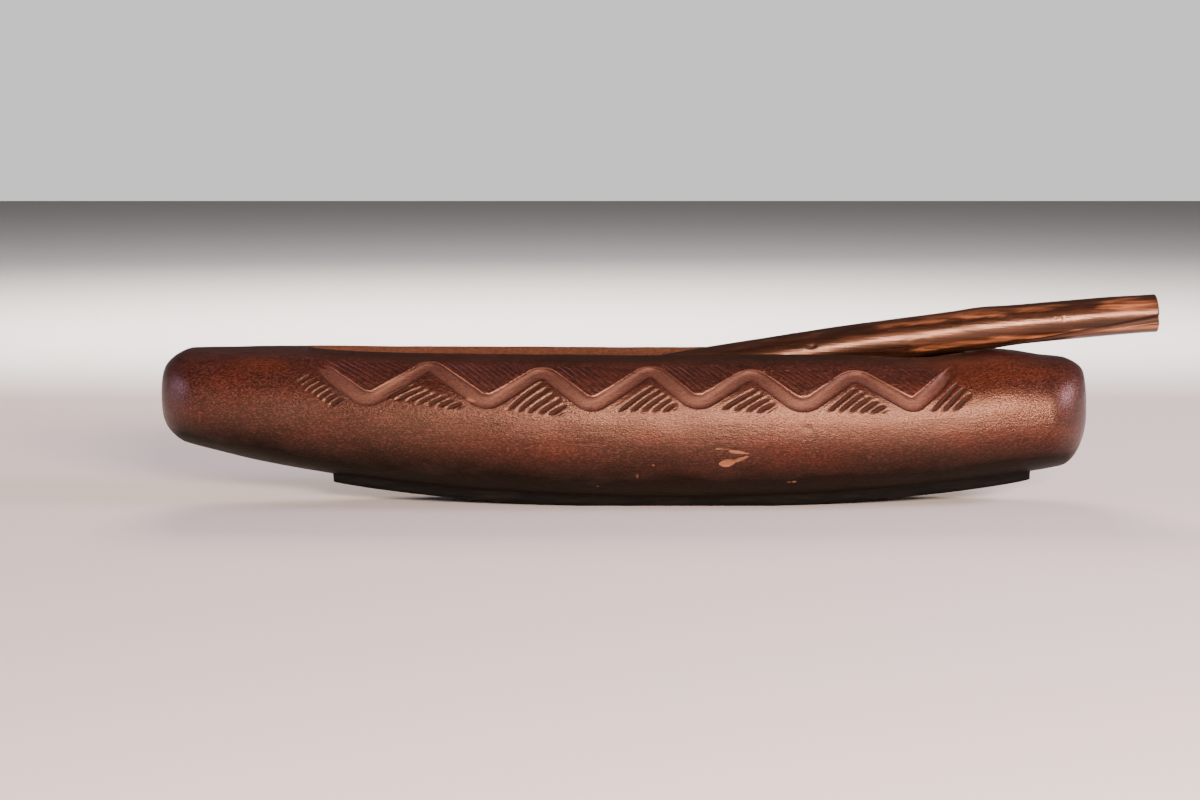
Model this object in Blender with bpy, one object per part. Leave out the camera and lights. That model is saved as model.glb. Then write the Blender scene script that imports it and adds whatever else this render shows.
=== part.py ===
"""Drum with beater: a long carved wooden slit drum on a low foot, with a natural stick laid in its slot.

Metres. X runs along the drum from left to right, -Y is the carved front and +Z is up.
The foot stands on Z = 0 and the middle of its flat is the origin.
"""

import math

import bmesh
import bpy
import numpy as np
from mathutils import Vector

# Drum body
DRUM_LENGTH = 0.5945
DRUM_WIDTH = 0.122
DRUM_HEIGHT = 0.1025
TOP_POWER = 2.35
BOTTOM_POWER = 2.15
WIDEST_AT = 0.03
TAPER_LEFT = 0.30
TAPER_RIGHT = 0.26
TAPER_POWER = 2.4
# Place along the drum as a share of its length, then height as a share of the drum's height
CROWN_LINE = (
    (-0.50, 0.976), (-0.40, 0.984), (-0.25, 0.990), (0.00, 0.992), (0.25, 0.974), (0.320, 0.948),
    (0.376, 0.940), (0.407, 0.968), (0.433, 0.956), (0.455, 0.934), (0.477, 0.922), (0.50, 0.905),
)
KEEL_LINE = (
    (-0.50, 0.413), (-0.40, 0.269), (-0.30, 0.165), (-0.20, 0.092), (-0.10, 0.047), (0.00, 0.025),
    (0.10, 0.023), (0.20, 0.043), (0.30, 0.086), (0.40, 0.154), (0.50, 0.255),
)
# How each edge of the two end faces is rounded: reach along X and depth, both as shares of the drum's height,
# then the power of its curve
LEFT_TOP = (0.171, 0.127, 1.6)
LEFT_BOTTOM = (0.137, 0.107, 1.6)
LEFT_SIDE = (0.254, 0.195, 1.7)
RIGHT_TOP = (0.122, 0.0585, 1.6)
RIGHT_BOTTOM = (0.137, 0.229, 1.9)
RIGHT_SIDE = (0.263, 0.263, 1.8)
END_DOME = 0.0015
GIRTH_STEPS = 36
MIDDLE_STEPS = 22
ROUNDING_STEPS = 5

# Foot carved in one with the body
FOOT_LEFT = -0.188
FOOT_RIGHT = 0.263
FOOT_HALF_WIDTH = 0.024
FOOT_END_HALF_WIDTH = 0.014
FOOT_DEPTH = 0.0034
FOOT_BATTER = 0.0015
FOOT_TOE_SLANT = 0.006
FOOT_SINK = 0.011
FOOT_END_POWER = 3
FOOT_STEPS = 20

# Slot and hollow
SLOT_MIDDLE = 0.009
SLOT_LENGTH = 0.426
SLOT_HALF_WIDTH = 0.027
SLOT_NARROWING = 0.35
SLOT_END_POWER = 10
SLOT_STEPS = 22
WALL = 0.015
LIP = 0.010
FLOOR = 0.0355
HOLLOW_PAST_SLOT = 0.004
HOLLOW_POWER = 3.0
HOLLOW_GIRTH_STEPS = 24
HOLLOW_STEPS = 18

# Zigzag band: place along the drum, height as a share of the upper half, and the rounding of each turn
# as a share of the drum's height
ZIGZAG = (
    (-0.3341, 0.83, 0.000), (-0.2724, 0.30, 0.088), (-0.2073, 0.82, 0.063), (-0.1462, 0.32, 0.098),
    (-0.0864, 0.76, 0.088), (-0.0352, 0.31, 0.098), (0.0286, 0.79, 0.088), (0.0767, 0.34, 0.107),
    (0.1359, 0.745, 0.098), (0.1886, 0.285, 0.117), (0.2457, 0.75, 0.107), (0.3065, 0.33, 0.063),
    (0.3557, 0.86, 0.000),
)
BAND_WIDTH = 0.0095
BAND_DEPTH = 0.0018
BAND_RISE_SPAN = 0.576
BAND_PROUD = 0.8
BAND_SHRINK = 0.55
BAND_SHRINK_OVER = 0.016
BAND_TURN_STEPS = 4
BAND_LONGEST_STEP = 0.009
BAND_SIDES = 5

# Gouged strokes beneath the band: first stroke low and high, last stroke low and high, how many
STROKES = (
    ((-0.348, 0.52), (-0.334, 0.64), (-0.310, 0.23), (-0.301, 0.32), 7),
    ((-0.249, 0.38), (-0.224, 0.55), (-0.185, 0.27), (-0.175, 0.33), 7),
    ((-0.122, 0.28), (-0.088, 0.61), (-0.079, 0.22), (-0.064, 0.33), 5),
    ((-0.004, 0.29), (0.030, 0.58), (0.042, 0.28), (0.053, 0.37), 5),
    ((0.106, 0.31), (0.137, 0.53), (0.141, 0.26), (0.157, 0.37), 4),
    ((0.218, 0.28), (0.244, 0.55), (0.263, 0.25), (0.274, 0.34), 5),
    ((0.328, 0.28), (0.355, 0.64), (0.350, 0.27), (0.367, 0.48), 3),
)
STROKE_RADIUS = 0.0016
STROKE_DEPTH = 0.0009
STROKE_END = 0.35
STROKE_FULLNESS = 0.6
STROKE_RESOLUTION = 1
STROKE_STEPS = 4

# Beater
BEATER_LENGTH = 0.466
BEATER_OVERHANG = 0.0477
BEATER_HEAD_RADIUS = 0.0155
BEATER_HANDLE_RADIUS = 0.0123
BEATER_TIP = 0.013
BEATER_TIP_WORN = 0.88
BEATER_TIP_RINGS = (0.0, 0.12, 0.3, 0.6)
BEATER_BOW = 0.0084
BEATER_BOW_SKEW = 0.5
BEATER_YAW = math.radians(1.0)
BEATER_CROSSES_AT = 0.243
KNOT_AT = 0.760
KNOT_SPREAD = 0.030
KNOT_SWELL = 0.0009
BEATER_END_ROUND = 0.0008
BEATER_RESOLUTION = 6
BEATER_STEPS = 32
SEAT_GAP = 0.0005
SEAT_STEEPEST = 0.4
SEAT_TRIES = 40
# The shares of the stick's length that can touch the crown and the hollow's floor
CROWN_REACH = (0.6, 1.0)
FLOOR_REACH = (0.0, 0.15)
REACH_STEPS = 160
FLUTE_START = 0.60
FLUTE_TURN_START = math.radians(-88)
FLUTE_TURN_END = math.radians(-12)
FLUTE_TURN_POWER = 1.5
FLUTE_RADIUS = 0.0030
FLUTE_DEPTH = 0.0022
FLUTE_THIN = 0.25
FLUTE_RESOLUTION = 2
FLUTE_STEPS = 14

WELD = 0.000001
# Small steps for slopes and directions: metres along X, share of the stick's length and share of the upper
# half's height
STEP = 0.0005
SHARE_STEP = 0.005
RISE_STEP = 0.01
HIGHEST_RISE = 0.999


def part_collection(name, hidden=False):
    made = bpy.data.collections.new(name)
    made.hide_render = hidden
    bpy.context.scene.collection.children.link(made)
    return made


def clear_scene():
    for item in list(bpy.data.objects):
        bpy.data.objects.remove(item, do_unlink=True)


def skin(name, collection, around, along, place):
    """A closed skin: a square grid rolled round, each vertex put by place(turn, way), both ends closed."""
    grid = bmesh.new()
    bmesh.ops.create_grid(grid, x_segments=around, y_segments=along, size=0.5)
    for vertex in grid.verts:
        turn = round((vertex.co.x + 0.5) * around) % around
        way = round((vertex.co.y + 0.5) * along)
        vertex.co = place(turn, way)
    bmesh.ops.remove_doubles(grid, verts=grid.verts, dist=WELD)
    open_edges = [edge for edge in grid.edges if edge.is_boundary]
    if open_edges:
        bmesh.ops.holes_fill(grid, edges=open_edges, sides=0)
    bmesh.ops.recalc_face_normals(grid, faces=grid.faces)
    mesh = bpy.data.meshes.new(name)
    grid.to_mesh(mesh)
    grid.free()
    made = bpy.data.objects.new(name, mesh)
    collection.objects.link(made)
    return made


def mesh_of(name, collection, curve, location=(0, 0, 0)):
    """The curve's evaluated form as a mesh object in the curve's place, with its caps welded on."""
    drawn = bpy.data.objects.new(name + " curve", curve)
    drawn.location = location
    collection.objects.link(drawn)
    bpy.context.view_layer.update()
    mesh = bpy.data.meshes.new_from_object(drawn.evaluated_get(bpy.context.evaluated_depsgraph_get()))
    welded = bmesh.new()
    welded.from_mesh(mesh)
    bmesh.ops.remove_doubles(welded, verts=welded.verts, dist=WELD)
    bmesh.ops.recalc_face_normals(welded, faces=welded.faces)
    welded.to_mesh(mesh)
    welded.free()
    made = bpy.data.objects.new(name, mesh)
    made.matrix_world = drawn.matrix_world.copy()
    collection.objects.link(made)
    bpy.data.objects.remove(drawn, do_unlink=True)
    return made


def tubes(name, collection, radius, resolution, routes):
    """Round capped tubes in one mesh, one along each route of points with their share of the radius."""
    curve = bpy.data.curves.new(name, "CURVE")
    curve.dimensions = "3D"
    curve.bevel_depth = radius
    curve.bevel_resolution = resolution
    curve.use_fill_caps = True
    for route in routes:
        spline = curve.splines.new("POLY")
        spline.points.add(len(route) - 1)
        for spot, (point, share) in zip(spline.points, route):
            spot.co = (*point, 1)
            spot.radius = share
    return mesh_of(name, collection, curve)


def line_at(table, share):
    """The height at a share of the length, on a smooth curve through the table's points."""
    places = [point[0] for point in table]
    heights = [point[1] for point in table]
    slopes = np.gradient(heights, places)
    last = len(places) - 2
    leg = min(max(int(np.searchsorted(places, share)) - 1, 0), last)
    span = places[leg + 1] - places[leg]
    t = (share - places[leg]) / span
    start = heights[leg] * (1 + 2 * t) * (1 - t) ** 2 + slopes[leg] * span * t * (1 - t) ** 2
    end = heights[leg + 1] * t * t * (3 - 2 * t) - slopes[leg + 1] * span * t * t * (1 - t)
    return DRUM_HEIGHT * (start + end)


def drawn_in(gap, rounding):
    """How far a rounded end edge has drawn the outline in, at a gap from the end."""
    reach, depth, power = rounding
    near = min(max(1 - gap / (reach * DRUM_HEIGHT), 0.0), 1.0)
    return depth * DRUM_HEIGHT * (1 - (1 - near ** power) ** (1 / power))


def section(x):
    """Half-width, height of the widest line, and the crown's and keel's distances from it."""
    share = x / DRUM_LENGTH
    crown = line_at(CROWN_LINE, share)
    keel = line_at(KEEL_LINE, share)
    middle = (crown + keel) / 2
    taper = TAPER_LEFT if share < WIDEST_AT else TAPER_RIGHT
    half = DRUM_WIDTH / 2 * (1 - taper * abs(2 * (share - WIDEST_AT)) ** TAPER_POWER)
    left = DRUM_LENGTH / 2 + x
    right = DRUM_LENGTH / 2 - x
    half -= drawn_in(left, LEFT_SIDE) + drawn_in(right, RIGHT_SIDE)
    up = crown - middle - drawn_in(left, LEFT_TOP) - drawn_in(right, RIGHT_TOP)
    down = middle - keel - drawn_in(left, LEFT_BOTTOM) - drawn_in(right, RIGHT_BOTTOM)
    return half, middle, up, down


def signed_power(value, power):
    return math.copysign(abs(value) ** power, value)


def body_point(x, angle):
    """The body's surface at x, the angle going round from the keel by the front and the crown."""
    half, middle, up, down = section(x)
    upward = -math.cos(angle)
    power = TOP_POWER if upward > 0 else BOTTOM_POWER
    y = -half * signed_power(math.sin(angle), 2 / power)
    z = middle + (up if upward > 0 else down) * signed_power(upward, 2 / power)
    return Vector((x, y, z))


def body_stations():
    """Places along X for the body's sections, closest together over the rounded ends."""
    end = DRUM_LENGTH / 2
    easing = [1 - math.cos(math.pi / 2 * step / ROUNDING_STEPS) for step in range(ROUNDING_STEPS + 1)]
    left = [-end + LEFT_TOP[0] * DRUM_HEIGHT * share for share in easing]
    right = [end - RIGHT_TOP[0] * DRUM_HEIGHT * share for share in reversed(easing)]
    middle = np.linspace(left[-1], right[0], MIDDLE_STEPS + 1)[1:-1]
    return left + [float(x) for x in middle] + right


def make_body(collection):
    stations = body_stations()
    end = DRUM_LENGTH / 2
    rows = len(stations) + 1

    def place(turn, way):
        if way in (0, rows):
            x = -end if way == 0 else end
            return Vector((x, 0, section(x)[1]))
        point = body_point(stations[way - 1], 2 * math.pi * turn / GIRTH_STEPS)
        if way == 1:
            point.x += END_DOME
        if way == rows - 1:
            point.x -= END_DOME
        return point

    return skin("slit_drum", collection, GIRTH_STEPS, rows, place)


def make_foot(collection):
    """The low foot, flat where it stands and following the keel up towards its ends."""
    middle = (FOOT_LEFT + FOOT_RIGHT) / 2
    reach = (FOOT_RIGHT - FOOT_LEFT) / 2

    def place(turn, way):
        share = 2 * way / FOOT_STEPS - 1
        x = middle + reach * math.sin(math.pi / 2 * share)
        keel = line_at(KEEL_LINE, x / DRUM_LENGTH)
        fullness = math.sqrt(1 - abs(share) ** FOOT_END_POWER)
        half = FOOT_END_HALF_WIDTH + (FOOT_HALF_WIDTH - FOOT_END_HALF_WIDTH) * fullness
        low = turn in (0, 1)
        side = -1 if turn in (0, 3) else 1
        if low and way == FOOT_STEPS:
            x -= FOOT_TOE_SLANT
        y = side * (half if low else half + FOOT_BATTER)
        z = max(0.0, keel - FOOT_DEPTH) if low else keel + FOOT_SINK
        return Vector((x, y, z))

    return skin("foot", collection, 4, FOOT_STEPS, place)


def slot_half_width(share):
    lens = 1 - SLOT_NARROWING * share * share
    return SLOT_HALF_WIDTH * lens * math.sqrt(1 - abs(share) ** SLOT_END_POWER)


def make_slot(collection):
    """The long lens-shaped slot as an upright prism reaching down into the hollow."""
    shares = [-math.cos(math.pi * step / SLOT_STEPS) for step in range(SLOT_STEPS + 1)]
    outline = [(share, -slot_half_width(share)) for share in shares]
    outline += [(share, slot_half_width(share)) for share in reversed(shares[1:-1])]
    curve = bpy.data.curves.new("slot", "CURVE")
    curve.dimensions = "2D"
    curve.fill_mode = "BOTH"
    curve.extrude = DRUM_HEIGHT / 2
    spline = curve.splines.new("POLY")
    spline.points.add(len(outline) - 1)
    for spot, (share, y) in zip(spline.points, outline):
        spot.co = (SLOT_LENGTH / 2 * share, y, 0, 1)
    spline.use_cyclic_u = True
    _, _, _, middle = hollow_sizes()
    return mesh_of("slot", collection, curve, (SLOT_MIDDLE, 0, middle + DRUM_HEIGHT / 2))


def hollow_sizes():
    """Half-length, half-width, half-height and middle height of the hollow."""
    half, middle, up, down = section(SLOT_MIDDLE)
    top = middle + up - LIP
    floor = middle - down + FLOOR
    return SLOT_LENGTH / 2 + HOLLOW_PAST_SLOT, half - WALL, (top - floor) / 2, (top + floor) / 2


def hollow_share(x):
    """How much of its full section the hollow has at x."""
    share = min(abs(x - SLOT_MIDDLE) / hollow_sizes()[0], 1.0)
    return (1 - share ** HOLLOW_POWER) ** (1 / HOLLOW_POWER)


def make_hollow(collection):
    """The hollow under the slot, wider than the slot on both sides."""
    length, width, height, middle = hollow_sizes()
    around, along = HOLLOW_GIRTH_STEPS, HOLLOW_STEPS

    def place(turn, way):
        x = SLOT_MIDDLE - length * math.cos(math.pi * way / along)
        share = hollow_share(x) if 0 < way < along else 0.0
        angle = 2 * math.pi * turn / around
        y = width * share * signed_power(math.sin(angle), 2 / HOLLOW_POWER)
        z = middle - height * share * signed_power(math.cos(angle), 2 / HOLLOW_POWER)
        return Vector((x, y, z))

    return skin("hollow", collection, around, along, place)


def carved_point(x, rise, side):
    """A point of the body's upper half, at a rise given as a share of the half's height."""
    half, middle, up, _ = section(x)
    rise = min(max(rise, 0.0), HIGHEST_RISE)
    return Vector((x, side * half * (1 - rise ** TOP_POWER) ** (1 / TOP_POWER), middle + up * rise))


def carved_frame(x, rise, side):
    """A point of the upper half and the direction straight out of the wood there."""
    along = carved_point(x + STEP, rise, side) - carved_point(x - STEP, rise, side)
    upward = carved_point(x, rise + RISE_STEP, side) - carved_point(x, rise - RISE_STEP, side)
    out = along.cross(upward).normalized()
    if out.y * side < 0:
        out = -out
    return carved_point(x, rise, side), out


def rounded_path(turns):
    """Points along a zigzag whose turns are rounded by their own radius, laid out flat."""
    span = BAND_RISE_SPAN * DRUM_HEIGHT
    corners = [Vector((share * DRUM_LENGTH, rise * span)) for share, rise, _ in turns]
    path = [corners[0]]
    for index in range(1, len(corners) - 1):
        back = (corners[index - 1] - corners[index]).normalized()
        on = (corners[index + 1] - corners[index]).normalized()
        half_angle = back.angle(on) / 2
        radius = turns[index][2] * DRUM_HEIGHT
        run = radius / math.tan(half_angle)
        centre = corners[index] + (back + on).normalized() * radius / math.sin(half_angle)
        first = corners[index] + back * run - centre
        last = corners[index] + on * run - centre
        sweep = first.angle_signed(last)
        for step in range(BAND_TURN_STEPS + 1):
            angle = -sweep * step / BAND_TURN_STEPS
            turned = Vector((
                first.x * math.cos(angle) - first.y * math.sin(angle),
                first.x * math.sin(angle) + first.y * math.cos(angle),
            ))
            path.append(centre + turned)
    path.append(corners[-1])
    filled = [path[0]]
    for before, after in zip(path, path[1:]):
        steps = math.ceil((after - before).length / BAND_LONGEST_STEP)
        filled += [before.lerp(after, step / steps) for step in range(1, steps + 1)]
    return filled


def make_band(name, collection, side):
    """The cutter of one zigzag band: a round-bottomed gouge cut swept along the rounded zigzag."""
    path = rounded_path(ZIGZAG)
    radius = (BAND_WIDTH ** 2 / 4 + BAND_DEPTH ** 2) / (2 * BAND_DEPTH)
    spots = [carved_frame(point.x, point.y / (BAND_RISE_SPAN * DRUM_HEIGHT), side) for point in path]
    lengths = [0.0]
    for before, after in zip(spots, spots[1:]):
        lengths.append(lengths[-1] + (after[0] - before[0]).length)
    above = BAND_DEPTH * BAND_PROUD
    reach = math.acos((radius - BAND_DEPTH - above) / radius)

    def place(turn, way):
        centre, out = spots[way]
        on = spots[min(way + 1, len(spots) - 1)][0] - spots[max(way - 1, 0)][0]
        across = on.cross(out).normalized()
        edge = min(lengths[way], lengths[-1] - lengths[way]) / BAND_SHRINK_OVER
        size = BAND_SHRINK + (1 - BAND_SHRINK) * min(edge, 1.0) ** 0.5
        angle = reach * (2 * turn / BAND_SIDES - 1)
        return (
            centre
            + across * radius * math.sin(angle) * size
            + out * (radius - BAND_DEPTH - radius * math.cos(angle)) * size
        )

    return skin(name, collection, BAND_SIDES + 1, len(path) - 1, place)


def stroke_route(low, high, side):
    """The route of one gouged stroke, deepest in its middle and running out at both ends."""
    route = []
    for step in range(STROKE_STEPS + 1):
        share = step / STROKE_STEPS
        x = (low[0] + (high[0] - low[0]) * share) * DRUM_LENGTH
        centre, out = carved_frame(x, low[1] + (high[1] - low[1]) * share, side)
        size = STROKE_END + (1 - STROKE_END) * math.sin(math.pi * share) ** STROKE_FULLNESS
        route.append((centre + out * (STROKE_RADIUS * size - STROKE_DEPTH * size ** 2), size))
    return route


def make_strokes(collection, side):
    routes = []
    for first_low, first_high, last_low, last_high, count in STROKES:
        for index in range(count):
            share = index / (count - 1)
            low = [a + (b - a) * share for a, b in zip(first_low, last_low)]
            high = [a + (b - a) * share for a, b in zip(first_high, last_high)]
            routes.append(stroke_route(low, high, side))
    return tubes("strokes", collection, STROKE_RADIUS, STROKE_RESOLUTION, routes)


def beater_radius(share):
    """Radius of the stick at a share of its length from the striking end."""
    radius = BEATER_HEAD_RADIUS + (BEATER_HANDLE_RADIUS - BEATER_HEAD_RADIUS) * share
    radius += KNOT_SWELL * math.exp(-((share - KNOT_AT) / KNOT_SPREAD) ** 2)
    return radius


class Seat:
    """How the stick lies: its slope and the height of its right end."""

    def __init__(self, slope, lift):
        self.slope = slope
        self.lift = lift

    def centre(self, share):
        back = (1 - share) * BEATER_LENGTH
        bow = 4 * BEATER_BOW * share * (1 - share) * (1 + BEATER_BOW_SKEW * (share - 0.5))
        run = back * math.cos(self.slope) + bow * math.sin(self.slope)
        x = DRUM_LENGTH / 2 + BEATER_OVERHANG - run
        z = self.lift - back * math.sin(self.slope) + bow * math.cos(self.slope)
        return Vector((x, (BEATER_CROSSES_AT - x) * math.sin(BEATER_YAW), z))

    def under(self, share):
        """The lowest point of the stick at a share of its length."""
        tangent = self.centre(min(share + SHARE_STEP, 1)) - self.centre(max(share - SHARE_STEP, 0))
        down = Vector((tangent.z, 0, -tangent.x)).normalized()
        return self.centre(share) + down * beater_radius(share) * tip_share(share)


def tip_share(share):
    """The striking end is worn to a rounded tip."""
    near = min(max(1 - share * BEATER_LENGTH / BEATER_TIP, 0.0), 1.0)
    return math.sqrt(1 - BEATER_TIP_WORN * near * near)


def gap_over_crown(seat):
    gaps = []
    for share in np.linspace(*CROWN_REACH, REACH_STEPS + 1):
        point = seat.under(float(share))
        if SLOT_MIDDLE + SLOT_LENGTH / 2 < point.x < DRUM_LENGTH / 2:
            _, middle, up, _ = section(point.x)
            gaps.append(point.z - middle - up)
    return min(gaps)


def gap_over_floor(seat):
    _, _, height, middle = hollow_sizes()
    gaps = []
    for share in np.linspace(*FLOOR_REACH, REACH_STEPS + 1):
        point = seat.under(float(share))
        gaps.append(point.z - middle + height * hollow_share(point.x))
    return min(gaps)


def find_seat():
    """Lays the stick on the drum's right crown and its striking end on the floor of the hollow."""
    flat, steep = 0.0, SEAT_STEEPEST
    for _ in range(SEAT_TRIES):
        slope = (flat + steep) / 2
        seat = Seat(slope, DRUM_HEIGHT * 2)
        seat.lift += SEAT_GAP - gap_over_crown(seat)
        if gap_over_floor(seat) > SEAT_GAP:
            flat = slope
        else:
            steep = slope
    return seat


def make_beater(collection, seat):
    tip = BEATER_TIP / BEATER_LENGTH
    shares = [tip * ring for ring in BEATER_TIP_RINGS]
    shares += [float(share) for share in np.linspace(tip, 1 - BEATER_END_ROUND / BEATER_LENGTH, BEATER_STEPS)]
    route = [
        (seat.centre(share), beater_radius(share) * tip_share(share) / BEATER_HANDLE_RADIUS)
        for share in shares
    ]
    route.append((seat.centre(1.0), 1 - BEATER_END_ROUND / BEATER_HANDLE_RADIUS))
    return tubes("beater", collection, BEATER_HANDLE_RADIUS, BEATER_RESOLUTION, [route])


def make_flute(collection, seat):
    """The long open flute that winds from the stick's underside to its right end, growing as it goes."""
    route = []
    for step in range(FLUTE_STEPS + 1):
        part = step / FLUTE_STEPS
        share = FLUTE_START + (1 - FLUTE_START) * part
        size = FLUTE_THIN + (1 - FLUTE_THIN) * part
        around = FLUTE_TURN_START + (FLUTE_TURN_END - FLUTE_TURN_START) * part ** FLUTE_TURN_POWER
        on = (seat.centre(min(share + SHARE_STEP, 1)) - seat.centre(share - SHARE_STEP)).normalized()
        front = on.cross(Vector((0, 0, 1))).normalized()
        out = front * math.cos(around) + front.cross(on).normalized() * math.sin(around)
        centre = seat.centre(share) + out * (beater_radius(share) + (FLUTE_RADIUS - FLUTE_DEPTH) * size)
        if step == FLUTE_STEPS:
            centre = centre + on * FLUTE_RADIUS
        route.append((centre, size))
    return tubes("flute", collection, FLUTE_RADIUS, FLUTE_RESOLUTION, [route])


def cut(target, cutter, operation="DIFFERENCE"):
    cutter.hide_render = True
    cutter.display_type = "WIRE"
    step = target.modifiers.new(operation.title() + " " + cutter.name, "BOOLEAN")
    step.operation = operation
    step.solver = "EXACT"
    step.use_self = True
    step.object = cutter


def wood(name, colour, roughness):
    material = bpy.data.materials.new(name)
    material.use_nodes = True
    surface = material.node_tree.nodes["Principled BSDF"]
    surface.inputs["Base Color"].default_value = (*colour, 1)
    surface.inputs["Roughness"].default_value = roughness
    return material


def main():
    clear_scene()
    parts = part_collection("drum_with_beater")
    cutters = part_collection("cutters", hidden=True)

    drum = make_body(parts)
    drum.data.materials.append(wood("reddish brown carved wood", (0.155, 0.055, 0.030), 0.45))
    cut(drum, make_foot(cutters), "UNION")
    cut(drum, make_hollow(cutters))
    cut(drum, make_slot(cutters))
    cut(drum, make_band("front_band", cutters, -1))
    cut(drum, make_band("back_band", cutters, 1))
    cut(drum, make_strokes(cutters, -1))

    seat = find_seat()
    beater = make_beater(parts, seat)
    beater.data.materials.append(wood("dark streaked stick wood", (0.080, 0.035, 0.018), 0.38))
    cut(beater, make_flute(cutters, seat))


main()
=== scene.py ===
"""Looks of the drum with beater: the drum's carved, worn wood and the handled natural stick in its slot."""

import math

import bmesh
import bpy
import numpy as np
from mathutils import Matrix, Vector, noise


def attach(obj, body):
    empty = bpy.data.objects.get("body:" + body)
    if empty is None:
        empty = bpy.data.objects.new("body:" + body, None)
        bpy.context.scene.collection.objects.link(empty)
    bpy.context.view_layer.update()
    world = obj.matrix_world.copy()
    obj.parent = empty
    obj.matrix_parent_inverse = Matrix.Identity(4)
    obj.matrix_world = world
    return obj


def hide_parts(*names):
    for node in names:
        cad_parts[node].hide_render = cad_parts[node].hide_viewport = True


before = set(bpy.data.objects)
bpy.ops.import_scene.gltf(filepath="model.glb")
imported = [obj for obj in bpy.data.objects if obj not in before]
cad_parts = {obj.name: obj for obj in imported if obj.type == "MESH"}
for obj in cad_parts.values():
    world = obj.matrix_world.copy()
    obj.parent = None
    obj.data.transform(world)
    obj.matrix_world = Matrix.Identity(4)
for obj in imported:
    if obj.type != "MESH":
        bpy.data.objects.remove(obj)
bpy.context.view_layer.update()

# The drum's form, as in the CAD. Only the crown is about 1 mm higher where the stick crosses its right end
DRUM_LENGTH = 0.5945
DRUM_WIDTH = 0.122
DRUM_HEIGHT = 0.1025
TOP_POWER = 2.35
BOTTOM_POWER = 2.15
WIDEST_AT = 0.03
TAPER_LEFT = 0.30
TAPER_RIGHT = 0.26
TAPER_POWER = 2.4
CROWN_LINE = (
    (-0.50, 0.976), (-0.40, 0.984), (-0.25, 0.990), (0.00, 0.992), (0.25, 0.974), (0.320, 0.948),
    (0.376, 0.952), (0.407, 0.968), (0.433, 0.956), (0.455, 0.934), (0.477, 0.922), (0.50, 0.905),
)
KEEL_LINE = (
    (-0.50, 0.413), (-0.40, 0.269), (-0.30, 0.165), (-0.20, 0.092), (-0.10, 0.047), (0.00, 0.025),
    (0.10, 0.023), (0.20, 0.043), (0.30, 0.086), (0.40, 0.154), (0.50, 0.255),
)
LEFT_TOP = (0.171, 0.127, 1.6)
LEFT_BOTTOM = (0.137, 0.107, 1.6)
LEFT_SIDE = (0.254, 0.195, 1.7)
RIGHT_TOP = (0.122, 0.0585, 1.6)
RIGHT_BOTTOM = (0.137, 0.229, 1.9)
RIGHT_SIDE = (0.263, 0.263, 1.8)
END_DOME = 0.0015

FOOT_LEFT = -0.188
FOOT_RIGHT = 0.263
FOOT_HALF_WIDTH = 0.024
FOOT_END_HALF_WIDTH = 0.014
FOOT_DEPTH = 0.0034
FOOT_BATTER = 0.0015
FOOT_END_POWER = 3
FOOT_TOE_SLANT = 0.006

SLOT_MIDDLE = 0.009
SLOT_LENGTH = 0.426
SLOT_HALF_WIDTH = 0.027
SLOT_NARROWING = 0.35
SLOT_END_POWER = 10
WALL = 0.015
LIP = 0.010
FLOOR = 0.0355
HOLLOW_PAST_SLOT = 0.004
HOLLOW_POWER = 3.0
RIM_ROUND = 0.0011

ZIGZAG = (
    (-0.3341, 0.83, 0.000), (-0.2724, 0.30, 0.088), (-0.2073, 0.82, 0.063), (-0.1462, 0.32, 0.098),
    (-0.0864, 0.76, 0.088), (-0.0352, 0.31, 0.098), (0.0286, 0.79, 0.088), (0.0767, 0.34, 0.107),
    (0.1359, 0.745, 0.098), (0.1886, 0.285, 0.117), (0.2457, 0.75, 0.107), (0.3065, 0.33, 0.063),
    (0.3557, 0.86, 0.000),
)
BAND_WIDTH = 0.0095
BAND_RISE_SPAN = 0.576
BAND_CUT = 0.0019
BAND_ROUNDNESS = 3.2
BAND_RUN_OUT = (0.0, 0.016)
BAND_PAST_END = 0.006
BAND_FADE = 0.014
BAND_RAGGED = 0.08
UPPER_SIDE_FADE = (0.006, 0.018)
PATH_SAMPLES = 900

# Gouged strokes beneath the band: first stroke low and high, last stroke low and high, how many
STROKES = (
    ((-0.348, 0.52), (-0.334, 0.64), (-0.310, 0.23), (-0.301, 0.32), 7),
    ((-0.249, 0.38), (-0.224, 0.55), (-0.185, 0.27), (-0.175, 0.33), 7),
    ((-0.122, 0.28), (-0.088, 0.61), (-0.079, 0.22), (-0.064, 0.33), 5),
    ((-0.004, 0.29), (0.030, 0.58), (0.042, 0.28), (0.053, 0.37), 5),
    ((0.106, 0.31), (0.137, 0.53), (0.141, 0.26), (0.157, 0.37), 4),
    ((0.218, 0.28), (0.244, 0.55), (0.263, 0.25), (0.274, 0.34), 5),
    ((0.328, 0.28), (0.355, 0.64), (0.350, 0.27), (0.367, 0.48), 3),
)
STROKE_WIDTH = 0.0028
STROKE_CUT = 0.0011
STROKE_WANDER = 0.10
STROKE_THINNEST = 0.45
STROKE_SIDES_FADE = (-0.0022, -0.0014)
STROKE_ENDS_FADE = (0.0014, 0.0004)

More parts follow.
